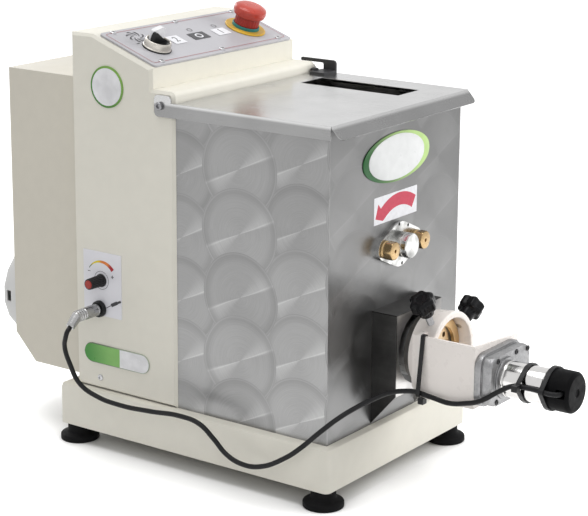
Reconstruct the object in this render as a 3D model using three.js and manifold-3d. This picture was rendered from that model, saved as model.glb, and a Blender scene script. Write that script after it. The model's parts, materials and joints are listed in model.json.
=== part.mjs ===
// Bench-top electric pasta maker: a mixing tank over a screw extruder, driven by one motor
// through a spur gear train, with a motorised cutter on the outlet and a hinged lid.
// Millimetres, +Z up. The operator stands at -Y and the drive is at +Y.
// The machine is drawn with the floor at z = 0 and the tower's front face at y = 0,
// and is moved at the end so that the origin is the middle of its footprint.
import * as THREE from "three";
import { mergeVertices } from "three/addons/utils/BufferGeometryUtils.js";
import Module from "manifold-3d";

const wasm = await Module();
wasm.setup();

// Clearances that many pieces share
const seatGap = 0.3;
const runGap = 0.06;
const overrun = 2;
const weldDepth = 1;
const shortestEdge = 0.02;
const largeRound = 3.2;
const roundSides = 18;
const smallSides = 10;
const motorSides = 24;
const collarSides = 28;
const footSides = 16;
const headSides = 20;
const holeSides = 8;
const hexSides = 6;

// Stand: a folded tray on four rubber feet
const baseWidth = 260;
const baseDepth = 350;
const baseFront = 195;
const baseHeight = 45;
const baseEdge = 5;
const baseCorner = 6;
const baseSheet = 2;
const baseRim = 34;
const footHeight = 19;
const footRadius = 20.7;
const footNeckRadius = 12.8;
const footPad = 6;
const footWaist = 9;
const footInset = 15;
const footStudRadius = 4;
const footStudLength = 9;

// Tower: sheet housing with a step for the opened lid and a sloping console
const sheet = 1.5;
const towerHalfWidth = 122;
const towerDepth = 136;
const towerTop = 442;
const towerEdge = 3;
const roofDepth = 29;
const stepDepth = 29;
const stepTop = 393.3;
const stepEdge = 5;
const consoleBottom = 414.6;
const shaftHoleRadius = 17;

// Rear cover over the motor
const rearHalfWidth = 112;
const rearBack = 233.5;
const rearBottom = 72;
const rearTop = 394;
const rearChamferDepth = 28;
const rearChamferHeight = 29;
const rearOpeningMargin = 12;

// Motor, its fan and the fan cowl
const motorX = -51;
const motorZ = 137;
const motorRadius = 46;
const motorFlangeRadius = 52;
const motorFlange = 8;
const motorSpigotRadius = 24;
const motorBack = 196;
const motorBellLength = 14;
const motorShaftRadius = 7;
const cowlRadius = 55;
const cowlBack = 262;
const cowlRound = 9;
const cowlSheet = 1.6;
const cowlHoleGap = 1.2;
const cowlSlots = 6;
const cowlSlotLength = 12;
const cowlSlotWidth = 6;
const fanRadius = 46;
const fanHubRadius = 13;
const fanBlades = 5;
const fanBlade = 2.2;
const fanDepth = 20;
const fanDisc = 2;
const fanStart = 214;

// Gear train: pinion, compound gear, auger gear and mixer gear
const pressureAngle = 20;
const toothBacklash = 0.36;
const addendumShare = 0.8;
const dedendumShare = 1.1;
const coarseModule = 4;
const fineModule = 3;
const augerTeeth = 32;
const mixerTeeth = 19;
const stepDownTeeth = 11;
const compoundTeeth = 31;
const pinionTeeth = 10;
const coarseFace = 14;
const fineFace = 10;
const gearSpacing = 3;
const frontPlateStart = 2;
const gearPlate = 8;
const gearPlateHalfGap = 3;
const plateLeft = -112;
const plateRight = 74;
const plateTop = 300;
const pillarRadius = 7;
const pillarInset = 9;
const augerZ = 142;
const driveShaftRadius = 10;
const compoundShaftRadius = 7;

// Tank: casing with a front panel, and the mixing trough in it
const tankHalfWidth = 119;
const tankFront = 186;
const tankTop = 380.5;
const tankSheet = 1.2;
const tankLip = 8;
const troughHalfWidth = 103;
const troughFrontGap = 6;
const troughBackGap = 6;
const troughTopGap = 3;
const troughRim = 12;
const troughFloorDrop = 69;
const troughSteps = 10;
const feedHalfWidth = 17;
const feedFront = 150;
const feedBack = 40;

// Lid
const lidHalfWidth = 125;
const lidFront = 191;
const lidTop = 383;
const lidSheet = 1.2;
const lidRearGap = 4;
const lidSkirt = 13.5;
const lidFlareOut = 11;
const lidFlareDown = 12;
const lidFlareRound = 6;
const lidSlotLeft = 50;
const lidSlotRight = 90;
const lidSlotFront = 153;
const lidSlotBack = 31;
const lidPivotY = 15.5;
const lidPivotZ = 379;
const earHalfHeight = 11;
const earFront = 1.5;
const earBack = 23;
const earRound = 5;
const hingeScrewRadius = 2.5;
const hingeHeadRadius = 5;
const hingeHead = 3;
const hingeScrewLength = 9;
const hingeSpacerShare = 0.8;

// Interlock: a bracket on the lid, and the magnetic switch under the step
const interlockPlateWidth = 23;
const interlockPlateFront = 25;
const interlockPlateBack = 6;
const interlockSheet = 2.4;
const interlockRise = 13;
const interlockArm = 3.6;
const interlockArmBack = 21;
const interlockWebBack = 9;
const interlockRound = 4;
const switchWidth = 18;
const switchLength = 20;
const switchHeight = 7;

// Mixer: shaft, paddles and front bearing flange with two hand nuts
const mixerShaftRadius = 11;
const mixerPaddles = 6;
const paddleReach = 64;
const paddleWidth = 14;
const paddleThick = 6;
const paddlePitch = 26;
const paddleTilt = 35;
const flangeRadius = 23;
const flangeEarRadius = 11.5;
const flangeEarSpread = 28;
const flangeThick = 5;
const flangeSides = 14;
const journalRadius = 8.3;
const hubRadius = 12.8;
const hubLength = 17;
const hubGroove = 0.8;
const hubGrooveWidth = 1.6;
const hubEdge = 1.5;
const nutRadius = 9.6;
const nutLength = 15;
const nutWasher = 2;
const nutWasherRadius = 10.4;
const nutEdge = 1.4;
const nutSides = 16;
const nutHexRadius = 10.2;
const nutHoleRadius = 1.8;
const nutHoleDepth = 4;
const nutStudRadius = 3;

// Extruder: screw, barrel, ring nut and die
const augerRadius = 24.4;
const augerCoreRadius = 12;
const augerPitch = 38;
const augerLand = 5;
const augerCrestShare = 0.8;
const augerFront = 224;
const augerBack = 8;
const augerStepsPerTurn = 8;
const barrelInner = 25;
const barrelOuter = 31;
const barrelFront = 226;
const barrelFlange = 4;
const barrelFlangeRadius = 36.5;
const dieRadius = 29;
const dieThick = 10;
const dieHoles = 8;
const dieHoleRadius = 3;
const dieHoleCircle = 18;
const ringNutRadius = 35.2;
const ringNutBack = 219.5;
const ringNutFront = 242;
const ringNutOpening = 25;

// Outlet guard on the front panel
const guardHalfWidth = 42;
const guardFront = 215;
const guardTop = 183;
const guardFaceBottom = 98.7;
const guardWallBottom = 65.4;
const guardSheet = 1.2;
const guardOpening = 38;

// Cutter: collar, clamp knobs, bracket, gearbox, motor and knife
const collarRadius = 42.2;
const collarBackRadius = 39.6;
const collarBore = 35.6;
const collarFront = 254.9;
const collarBack = 227;
const collarEdge = 1.5;
const knobPlane = 243;
const knobAngles = [124, 31];
const knobRadius = 13.4;
const knobLobes = 6;
const knobLobeSteps = 5;
const knobLobeDepthShare = 0.13;
const knobHead = 13;
const knobEdge = 2;
const knobConeLength = 9;
const knobConeRadius = 7.4;
const knobStudRadius = 3.5;
const knobStudShows = [13.5, 6];
const bracketSheet = 3;
const bracketFront = 305;
const bracketBack = 234;
const bracketTop = 168.5;
const bracketTopRight = 161.5;
const bracketBottom = 105.5;
const bracketRight = 40;
const bracketRound = 16;
const bracketOuter = 43;
const gearboxLeft = -43;
const gearboxRight = 35;
const gearboxTop = 160.5;
const gearboxBottom = 107;
const gearboxDepth = 18;
const gearboxCorner = 12;
const gearboxFaceInset = 4;
const gearboxBackDepth = 7;
const cutterMotorX = -14;
const cutterMotorZ = 134;
const canRadius = 18;
const canBossRadius = 21;
const canBoss = 2.5;
const capRadius = 20.4;
const capLength = 28;
const capEdge = 3;
const capBack = 373;
const capDimpleRadius = 4;
const capDimple = 1.2;
const capSlotHalf = 4.2;
const capSlotLength = 10;
const capSlotDepth = 9;
const knifeShaftRadius = 4;
const knifeReach = 21;
const knifeThick = 1.6;
const knifeWidth = 9;
const knifeHubRadius = 6;
const knifeHub = 6;
const knifeGap = 1.2;

// Console plate and what is on it, placed up the slope from its lower edge
const consolePlate = 2;
const consoleHalfWidth = 116;
const consoleLength = 78;
const consoleCorner = 4;
const selectorX = -77.8;
const selectorUp = 31.5;
const selectorHoleRadius = 11;
const bezelRadius = 15;
const bezelTopRadius = 13.4;
const bezelBase = 1.4;
const bezelHeight = 9;
const bezelWall = 1.8;
const selectorGripWidth = 5;
const selectorGripHeight = 13;
const selectorDishDepth = 3.5;
const switchBlock = 30;
const switchBlockDepth = 34;
const stemRadius = 9;
const stopX = 78.5;
const stopUp = 37.5;
const stopRingRadius = 22.5;
const stopRing = 1.5;
const stopCollarRadius = 15;
const stopCollar = 4.6;
const stopStemRadius = 13.6;
const stopStemLength = 14;
const stopHeadRadius = 18;
const stopHead = 9;
const stopHeadEdge = 4;
const stopCrown = 1.95;
const stopTravel = 4;
const stopPlungerRadius = 7;

// Cutter speed control on the tower's left side
const speedY = 98.5;
const speedPlateFront = 71.5;
const speedPlateBack = 123;
const speedPlateBottom = 146;
const speedPlateTop = 215;
const speedPlate = 1;
const speedKnobZ = 184.5;
const speedKnobRadius = 6.3;
const speedKnobBase = 7;
const speedKnobLength = 21;
const speedKnobFlutes = 8;
const speedFluteShare = 0.12;
const speedFluteCircleShare = 1.06;
const speedFluteSides = 4;
const speedKnobRim = 1.5;
const speedKnobSkirt = 2;
const speedKnobEdge = 1;
const speedKnobTaperShare = 0.93;
const speedKnobTipShare = 0.85;
const potRadius = 9;
const potDepth = 14;
const potShaftRadius = 3;
const socketY = 101;
const socketZ = 153.5;
const socketRadius = 8.8;
const socketRing = 4.5;
const socketBodyRadius = 6;
const socketDepth = 22;
const socketBore = 4;
const socketEdge = 1;
const plugRadius = 6.4;
const plugBarrel = 21;
const plugKnurls = 3;
const plugKnurlPitch = 3.4;
const plugTailRadius = 4.4;
const plugPin = 2.5;
const plugEdge = 0.5;
const plugKnurlRootShare = 0.84;
const plugKnurlCrestShare = 0.97;
const plugKnurlWalkShares = [0.3, 0.7];
const plugKneeShare = 0.9;
const plugElbow = 14;
const plugElbowAngle = 40;

// Electrics in the tower
const boardWidth = 74;
const boardHeight = 72;
const boardThick = 22;
const boardX = 55;
const boardZ = 346;
const glandX = 72;
const glandZ = 118;
const glandRadius = 11;
const glandLength = 16;
const glandTipShare = 0.75;
const glandBore = 4.5;

// Cutter cable and its ties
const cableRadius = 2.5;
const cableSides = 8;
const cableLeadPoints = 3;
const cableStepShare = 2.6;
const cableSamples = 20;
const tieThick = 1.2;
const tieWidth = 4.4;
const tieHead = 7;
const tieHeadHeight = 6;
const tieSides = 16;
const canTiePlanes = [350, 366];
const bracketTiePlane = 247;

// Sizes worked out from the ones above
const baseTop = footHeight + baseHeight;
const baseBack = baseDepth - baseFront;
const consoleRun = towerDepth - roofDepth - stepDepth;
const consoleRise = towerTop - consoleBottom;
const consoleTilt = Math.atan2(consoleRise, consoleRun);
const mixerZ = augerZ + (coarseModule * (augerTeeth + mixerTeeth)) / 2;
const coarseStart = frontPlateStart + gearPlate + gearPlateHalfGap;
const fineStart = coarseStart + coarseFace + gearSpacing;
const rearPlateStart = fineStart + fineFace + gearPlateHalfGap;
const rearPlateEnd = rearPlateStart + gearPlate;
const shaftEnd = rearPlateEnd - 2 * seatGap;
const sideFace = towerHalfWidth + speedPlate;
const motorStart = rearPlateEnd;
const troughFront = tankFront - tankSheet - troughFrontGap;
const dieBack = barrelFront + seatGap;
const dieFront = dieBack + dieThick;
const gearboxBack = bracketFront;
const bracketInner = bracketOuter - bracketSheet;
const motorSeat = bracketFront + gearboxDepth + canBoss;
const gearboxFront = gearboxBack + gearboxDepth;

// The compound gear's shaft lies where both of its meshes have the right centre distance
const compoundReach = (coarseModule * (augerTeeth + stepDownTeeth)) / 2;
const pinionReach = (fineModule * (compoundTeeth + pinionTeeth)) / 2;
const motorSpan = Math.hypot(motorX, motorZ - augerZ);
const compoundAlong =
  (compoundReach ** 2 - pinionReach ** 2 + motorSpan ** 2) / (2 * motorSpan);
const compoundAcross = Math.sqrt(compoundReach ** 2 - compoundAlong ** 2);
const spanX = motorX / motorSpan;
const spanZ = (motorZ - augerZ) / motorSpan;
const compoundX = compoundAlong * spanX + compoundAcross * spanZ;
const compoundZ = augerZ + compoundAlong * spanZ - compoundAcross * spanX;

// Materials, one for each finish
const finishes = {
  cream: { color: 0xe6e1d2, roughness: 0.38, metalness: 0 },
  white: { color: 0xeeebe4, roughness: 0.35, metalness: 0 },
  stainless: { color: 0xa8a8a8, roughness: 0.3, metalness: 1 },
  polished: { color: 0xc4c4c6, roughness: 0.12, metalness: 1 },
  nickel: { color: 0xb9b4a4, roughness: 0.28, metalness: 1 },
  brass: { color: 0xc9a35c, roughness: 0.25, metalness: 1 },
  bronze: { color: 0xb98b4a, roughness: 0.35, metalness: 1 },
  zinc: { color: 0xa9abad, roughness: 0.42, metalness: 1 },
  steel: { color: 0x8c8e92, roughness: 0.4, metalness: 1 },
  blackPlastic: { color: 0x17171a, roughness: 0.5, metalness: 0 },
  rubber: { color: 0x141414, roughness: 0.8, metalness: 0 },
  blackPaint: { color: 0x101211, roughness: 0.4, metalness: 0 },
  consoleGrey: { color: 0xc3c4ca, roughness: 0.4, metalness: 0.2 },
  yellow: { color: 0xe2bb3a, roughness: 0.5, metalness: 0 },
  red: { color: 0xb0161c, roughness: 0.32, metalness: 0 },
  labelWhite: { color: 0xd9d8e2, roughness: 0.45, metalness: 0 },
  motorGrey: { color: 0x9da3a8, roughness: 0.5, metalness: 0.3 },
};
const materials = Object.fromEntries(
  Object.entries(finishes).map(([name, values]) => [
    name,
    new THREE.MeshStandardMaterial({ ...values, flatShading: true, name }),
  ]),
);

// Solids from three.js geometry
const sweepFrames = {
  x: new THREE.Matrix4().makeBasis(
    new THREE.Vector3(0, 1, 0),
    new THREE.Vector3(0, 0, 1),
    new THREE.Vector3(1, 0, 0),
  ),
  y: new THREE.Matrix4().makeBasis(
    new THREE.Vector3(1, 0, 0),
    new THREE.Vector3(0, 0, 1),
    new THREE.Vector3(0, -1, 0),
  ),
  z: new THREE.Matrix4(),
};

// A closed solid from a geometry, with its faces turned out
function closed(item) {
  if (!item.isBufferGeometry) return item;
  const bare = new THREE.BufferGeometry();
  bare.setAttribute("position", item.getAttribute("position"));
  bare.setIndex(item.index);
  const merged = mergeVertices(bare);
  const positions = merged.getAttribute("position");
  const corners = merged.index.array;
  const kept = [];
  let volume = 0;
  const [a, b, c] = [new THREE.Vector3(), new THREE.Vector3(), new THREE.Vector3()];
  for (let i = 0; i < corners.length; i += 3) {
    const [p, q, r] = [corners[i], corners[i + 1], corners[i + 2]];
    if (p === q || q === r || r === p) continue;
    kept.push([p, q, r]);
    a.fromBufferAttribute(positions, p);
    b.fromBufferAttribute(positions, q);
    c.fromBufferAttribute(positions, r);
    volume += a.dot(b.cross(c));
  }
  const facing = volume < 0 ? kept.map(([p, q, r]) => [p, r, q]) : kept;
  return new wasm.Manifold(
    new wasm.Mesh({
      numProp: 3,
      vertProperties: new Float32Array(positions.array),
      triVerts: new Uint32Array(facing.flat()),
    }),
  );
}

function join(...items) {
  return items.map(closed).reduce((whole, next) => whole.add(next));
}

function cut(base, ...cutters) {
  return cutters.map(closed).reduce((left, next) => left.subtract(next), closed(base));
}

// A named mesh of a solid, hung on a group
function piece(group, name, finish, item) {
  const data = closed(item).getMesh();
  const count = data.vertProperties.length / data.numProp;
  const positions = new Float32Array(count * 3);
  for (let i = 0; i < count; i++) {
    positions.set(data.vertProperties.subarray(i * data.numProp, i * data.numProp + 3), i * 3);
  }
  const geometry = new THREE.BufferGeometry();
  geometry.setAttribute("position", new THREE.BufferAttribute(positions, 3));
  geometry.setIndex(new THREE.BufferAttribute(new Uint32Array(data.triVerts), 1));
  geometry.computeVertexNormals();
  const mesh = new THREE.Mesh(geometry, materials[finish]);
  mesh.name = name;
  group.add(mesh);
  return mesh;
}

function moved(item, x, y, z) {
  return closed(item).translate(x, y, z);
}

// Outlines. A corner is [u, v] or [u, v, radius], in order round the outline.
function outline(corners) {
  const shape = new THREE.Shape();
  corners.forEach(([u, v, radius = 0], i) => {
    const corner = new THREE.Vector2(u, v);
    if (radius <= 0) {
      if (i === 0) shape.moveTo(u, v);
      else shape.lineTo(u, v);
      return;
    }
    const [pu, pv] = corners.at(i - 1);
    const [nu, nv] = corners[(i + 1) % corners.length];
    const back = new THREE.Vector2(pu, pv).sub(corner).normalize();
    const ahead = new THREE.Vector2(nu, nv).sub(corner).normalize();
    const half = Math.acos(back.dot(ahead)) / 2;
    const reach = radius / Math.tan(half);
    const start = corner.clone().addScaledVector(back, reach);
    const end = corner.clone().addScaledVector(ahead, reach);
    const middle = back.clone().add(ahead).normalize();
    const centre = corner.clone().addScaledVector(middle, radius / Math.sin(half));
    if (i === 0) shape.moveTo(start.x, start.y);
    else shape.lineTo(start.x, start.y);
    shape.absarc(
      centre.x,
      centre.y,
      radius,
      Math.atan2(start.y - centre.y, start.x - centre.x),
      Math.atan2(end.y - centre.y, end.x - centre.x),
      back.cross(ahead) > 0,
    );
  });
  shape.closePath();
  return shape;
}

function rectangle(left, right, low, high, radius = 0) {
  return outline([
    [left, low, radius],
    [right, low, radius],
    [right, high, radius],
    [left, high, radius],
  ]);
}

// The corners moved inwards by a wall
function inset(corners, wall) {
  const area = corners.reduce((sum, [u, v], i) => {
    const [nu, nv] = corners[(i + 1) % corners.length];
    return sum + u * nv - nu * v;
  }, 0);
  const side = Math.sign(area);
  return corners.map(([u, v, radius = 0], i) => {
    const here = new THREE.Vector2(u, v);
    const back = here.clone().sub(new THREE.Vector2(...corners.at(i - 1).slice(0, 2)));
    const ahead = new THREE.Vector2(...corners[(i + 1) % corners.length].slice(0, 2)).sub(here);
    const normals = [back, ahead].map((edge) => {
      const unit = edge.normalize();
      return new THREE.Vector2(-unit.y, unit.x).multiplyScalar(side);
    });
    const sum = normals[0].clone().add(normals[1]);
    const shift = sum.multiplyScalar(wall / (1 + normals[0].dot(normals[1])));
    const convex = side * (back.x * ahead.y - back.y * ahead.x) > 0;
    const inner = radius === 0 ? 0 : Math.max(radius + (convex ? -wall : wall), 0);
    return [here.x + shift.x, here.y + shift.y, inner];
  });
}

// The outline round several circles, each [u, v, radius], like a stretched band
function band(circles, margin, sides) {
  const widen = 1 / Math.cos(Math.PI / sides);
  const points = circles.flatMap(([u, v, radius]) =>
    Array.from({ length: sides }, (_, i) => {
      const turn = (2 * Math.PI * i) / sides;
      const reach = (radius + margin) * widen;
      return new THREE.Vector2(u + reach * Math.cos(turn), v + reach * Math.sin(turn));
    }),
  );
  points.sort((p, q) => p.x - q.x || p.y - q.y);
  const half = (list) => {
    const chain = [];
    for (const point of list) {
      while (chain.length > 1) {
        const last = chain.at(-1).clone().sub(chain.at(-2));
        const next = point.clone().sub(chain.at(-1));
        if (last.cross(next) > 0) break;
        chain.pop();
      }
      chain.push(point);
    }
    return chain.slice(0, -1);
  };
  return new THREE.Shape([...half(points), ...half([...points].reverse())]);
}

function withHoles(shape, ...holes) {
  shape.holes.push(...holes);
  return shape;
}

// A shape with its curves in straight steps and without repeated points
function straightened(shape, segments) {
  const tidy = (points) =>
    points.filter((point, i) => point.distanceTo(points.at(i - 1)) > shortestEdge);
  const drawn = shape.extractPoints(segments);
  const made = new THREE.Shape(tidy(drawn.shape));
  made.holes = drawn.holes.map((hole) => new THREE.Path(tidy(hole)));
  return made;
}

// A profile swept from one place to another along an axis, with its ends' edges rounded
function sweep(axis, shape, low, high, round = 0, segments = 2) {
  const geometry = new THREE.ExtrudeGeometry(straightened(shape, segments), {
    depth: high - low - 2 * round,
    bevelEnabled: round > 0,
    bevelThickness: round,
    bevelSize: round,
    bevelOffset: -round,
    bevelSegments: round > largeRound ? 2 : 1,
  });
  geometry.translate(0, 0, round);
  geometry.applyMatrix4(sweepFrames[axis]);
  const start = new THREE.Vector3(
    axis === "x" ? low : 0,
    axis === "y" ? high : 0,
    axis === "z" ? low : 0,
  );
  return closed(geometry.translate(start.x, start.y, start.z));
}

function block(left, right, front, back, low, high) {
  const geometry = new THREE.BoxGeometry(right - left, back - front, high - low);
  geometry.translate((left + right) / 2, (front + back) / 2, (low + high) / 2);
  return closed(geometry);
}

// Turns a geometry drawn along +Z to point along an axis
function aim(geometry, axis) {
  if (axis === "x") geometry.rotateY(Math.PI / 2);
  if (axis === "y") geometry.rotateX(-Math.PI / 2);
  return geometry;
}

// A round bar centred on an axis through (u, v): Y and Z for x, X and Z for y, X and Y for z
function rod(axis, radius, low, high, [u, v] = [0, 0], sides = roundSides, farRadius = radius) {
  const geometry = new THREE.CylinderGeometry(farRadius, radius, high - low, sides);
  geometry.rotateX(Math.PI / 2);
  aim(geometry, axis);
  const middle = (low + high) / 2;
  const place = { x: [middle, u, v], y: [u, middle, v], z: [u, v, middle] }[axis];
  return closed(geometry.translate(...place));
}

// A turned solid: the profile's points are [radius, place along the axis]
function turned(axis, profile, sides = roundSides) {
  const points = profile.map(([radius, along]) => new THREE.Vector2(radius, along));
  const geometry = new THREE.LatheGeometry(points, sides);
  geometry.rotateX(Math.PI / 2);
  return closed(aim(geometry, axis));
}

// Points of a quarter round from one [radius, place] to another, bulging outwards
function quarter([startRadius, startPlace], [endRadius, endPlace], steps = 4) {
  return Array.from({ length: steps + 1 }, (_, i) => {
    const turn = (Math.PI / 2) * (i / steps);
    return [
      endRadius + (startRadius - endRadius) * Math.cos(turn),
      startPlace + (endPlace - startPlace) * Math.sin(turn),
    ];
  });
}

// The radius of a polygonal hole that a polygonal shaft turns in freely
function bore(radius, gap = runGap, sides = roundSides) {
  return (radius + gap) / Math.cos(Math.PI / sides);
}

function degrees(angle) {
  return (angle * Math.PI) / 180;
}

// Spur gears: each flank is the chord of its involute. The angle runs from +X towards +Z.
function gearOutline(module, teeth, phase) {
  const pitchRadius = (module * teeth) / 2;
  const baseRadius = pitchRadius * Math.cos(degrees(pressureAngle));
  const tipRadius = pitchRadius + addendumShare * module;
  const rootRadius = pitchRadius - dedendumShare * module;
  const involute = (radius) => {
    const roll = Math.sqrt(Math.max((radius / baseRadius) ** 2 - 1, 0));
    return roll - Math.atan(roll);
  };
  const pitchHalf = (Math.PI * module) / 4 - toothBacklash / 2;
  const baseHalf = pitchHalf / pitchRadius + involute(pitchRadius);
  const rootTurn = baseHalf - involute(rootRadius);
  const tipTurn = baseHalf - involute(tipRadius);
  const points = Array.from({ length: teeth }, (_, tooth) => {
    const middle = phase + (2 * Math.PI * tooth) / teeth;
    return [
      [rootRadius, middle - rootTurn],
      [tipRadius, middle - tipTurn],
      [tipRadius, middle + tipTurn],
      [rootRadius, middle + rootTurn],
    ];
  }).flat();
  return new THREE.Shape(
    points.map(
      ([radius, turn]) => new THREE.Vector2(radius * Math.cos(turn), radius * Math.sin(turn)),
    ),
  );
}

// The phase of a gear that meshes with another: each gear has its teeth and its phase,
// and the line from the first centre to the second lies at the given angle
function meshPhase(line, firstPhase, firstTeeth, secondTeeth) {
  return line + Math.PI - ((firstPhase - line) * firstTeeth + Math.PI) / secondTeeth;
}

function gear(module, teeth, phase, low, high, boreRadius) {
  const wheel = sweep("y", gearOutline(module, teeth, phase), low, high);
  return cut(wheel, rod("y", boreRadius, low - overrun, high + overrun));
}

const machine = new THREE.Group();

function group(parent, x = 0, y = 0, z = 0) {
  const made = new THREE.Group();
  made.position.set(x, y, z);
  parent.add(made);
  return made;
}

// Stand
const stand = group(machine);
const footPlaces = [
  ["foot_front_left", -1, -baseFront + footInset],
  ["foot_front_right", 1, -baseFront + footInset],
  ["foot_rear_left", -1, baseBack - footInset],
  ["foot_rear_right", 1, baseBack - footInset],
].map(([name, side, y]) => [name, side * (baseWidth / 2 - footInset), y]);

function baseTray() {
  const plan = (wall, radius) =>
    rectangle(
      -baseWidth / 2 + wall,
      baseWidth / 2 - wall,
      -baseFront + wall,
      baseBack - wall,
      radius,
    );
  const outer = sweep("z", plan(0, baseCorner), footHeight - baseEdge, baseTop, baseEdge);
  const hollow = sweep(
    "z",
    plan(baseSheet, baseCorner - baseSheet),
    footHeight + baseSheet,
    baseTop - baseSheet,
    baseEdge - baseSheet,
  );
  const mouth = sweep("z", plan(baseRim, 0), footHeight - baseEdge, baseTop - baseEdge);
  const skirt = block(
    -baseWidth,
    baseWidth,
    -baseDepth,
    baseDepth,
    footHeight - 2 * baseEdge,
    footHeight,
  );
  const studHoles = footPlaces.map(([, x, y]) =>
    rod(
      "z",
      bore(footStudRadius, seatGap, smallSides),
      footHeight - overrun,
      footHeight + baseEdge,
      [x, y],
      smallSides,
    ),
  );
  return cut(outer, hollow, mouth, skirt, ...studHoles);
}
piece(stand, "base_tray", "cream", baseTray());

const footSolid = turned(
  "z",
  [
    [0, 0],
    [footRadius, 0],
    [footRadius, footPad],
    [footNeckRadius, footWaist],
    [footNeckRadius, footHeight],
    [footStudRadius, footHeight],
    [footStudRadius, footHeight + footStudLength],
    [0, footHeight + footStudLength],
  ],
  footSides,
);
for (const [name, x, y] of footPlaces) {
  piece(stand, name, "rubber", footSolid).position.set(x, y, 0);
}

// Tower housing. The console frame lies in the slope, its origin on the lower edge.
const tower = group(machine);
const consoleFrame = group(tower, 0, stepDepth, consoleBottom);
consoleFrame.rotation.x = consoleTilt;
consoleFrame.updateMatrix();

function onConsole(item, x, up) {
  return closed(item)
    .translate(x, up, 0)
    .transform(consoleFrame.matrix.toArray());
}

function towerCorners(low) {
  return [
    [0, low],
    [0, stepTop, stepEdge],
    [stepDepth, stepTop],
    [stepDepth, consoleBottom],
    [towerDepth - roofDepth, towerTop],
    [towerDepth, towerTop],
    [towerDepth, low],
  ];
}

const rearOpening = block(
  -rearHalfWidth + rearOpeningMargin,
  rearHalfWidth - rearOpeningMargin,
  towerDepth - overrun,
  towerDepth + overrun,
  rearBottom + rearOpeningMargin,
  rearTop - rearOpeningMargin,
);

// Holes in the left wall for the speed control's shaft and the cutter's socket
const controlHolePlaces = [
  [bore(potShaftRadius, seatGap, smallSides), [speedY, speedKnobZ]],
  [bore(socketBodyRadius, seatGap, smallSides), [socketY, socketZ]],
];

function towerHousing() {
  const skin = sweep(
    "x",
    outline(towerCorners(baseTop)),
    -towerHalfWidth,
    towerHalfWidth,
    towerEdge,
  );
  const hollow = sweep(
    "x",
    outline(inset(towerCorners(baseTop - overrun - sheet), sheet)),
    -towerHalfWidth + sheet,
    towerHalfWidth - sheet,
    towerEdge - sheet,
  );
  const front = [augerZ, mixerZ].map((z) =>
    rod("y", shaftHoleRadius, -overrun, sheet + overrun, [0, z], smallSides),
  );
  const consoleHoles = [
    [selectorX, selectorUp],
    [stopX, stopUp],
  ].map(([x, up]) =>
    onConsole(rod("z", bore(selectorHoleRadius, 0), -sheet - overrun, overrun), x, up),
  );
  const left = -towerHalfWidth - overrun;
  const controlHoles = controlHolePlaces.map(([radius, place]) =>
    rod("x", radius, left, left + 2 * overrun + sheet, place, smallSides),
  );
  const screwHoles = [-1, 1].map((side) =>
    rod(
      "x",
      bore(hingeScrewRadius, seatGap, smallSides),
      side * towerHalfWidth - sheet - overrun,
      side * towerHalfWidth + sheet + overrun,
      [lidPivotY, lidPivotZ],
      smallSides,
    ),
  );
  return cut(
    skin,
    hollow,
    rearOpening,
    ...front,
    ...consoleHoles,
    ...controlHoles,
    ...screwHoles,
  );
}
piece(tower, "tower_housing", "cream", towerHousing());

// Rear cover
function rearCorners(front) {
  return [
    [front, rearBottom],
    [front, rearTop],
    [rearBack, rearTop],
    [rearBack, rearBottom + rearChamferHeight],
    [rearBack - rearChamferDepth, rearBottom],
  ];
}

function rearCover() {
  const skin = sweep(
    "x",
    outline(rearCorners(towerDepth)),
    -rearHalfWidth,
    rearHalfWidth,
    0,
  );
  const hollow = sweep(
    "x",
    outline(inset(rearCorners(towerDepth - overrun - sheet), sheet)),
    -rearHalfWidth + sheet,
    rearHalfWidth - sheet,
  );
  const cowlHole = rod(
    "y",
    bore(cowlRadius, cowlHoleGap),
    rearBack - rearChamferDepth,
    rearBack + overrun,
    [motorX, motorZ],
  );
  const glandHole = rod(
    "y",
    bore(glandRadius / 2, seatGap, smallSides),
    rearBack - sheet - overrun,
    rearBack + overrun,
    [glandX, glandZ],
    smallSides,
  );
  return cut(skin, hollow, cowlHole, glandHole);
}
piece(tower, "rear_cover", "cream", rearCover());

// Gear case plates, standing on the tray inside the tower
const drive = group(machine);

function gearCasePlate(start, holes) {
  const plate = block(plateLeft, plateRight, start, start + gearPlate, baseTop, plateTop);
  const bores = holes.map(([radius, x, z]) =>
    rod("y", radius, start - overrun, start + gearPlate + overrun, [x, z]),
  );
  return cut(plate, ...bores);
}

const shaftBores = [
  [bore(driveShaftRadius), 0, augerZ],
  [bore(driveShaftRadius), 0, mixerZ],
  [bore(compoundShaftRadius), compoundX, compoundZ],
];
const pillars = [
  [plateLeft + pillarInset, baseTop + pillarInset],
  [plateRight - pillarInset, baseTop + pillarInset],
  [plateLeft + pillarInset, plateTop - pillarInset],
  [plateRight - pillarInset, plateTop - pillarInset],
].map((place) =>
  rod("y", pillarRadius, frontPlateStart + gearPlate - weldDepth, rearPlateStart, place, hexSides),
);
const frontPlate = join(gearCasePlate(frontPlateStart, shaftBores), ...pillars);
piece(drive, "gear_plate_front", "steel", frontPlate);
piece(
  drive,
  "gear_plate_rear",
  "steel",
  gearCasePlate(rearPlateStart, [
    ...shaftBores,
    [bore(motorSpigotRadius, seatGap), motorX, motorZ],
  ]),
);

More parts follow.
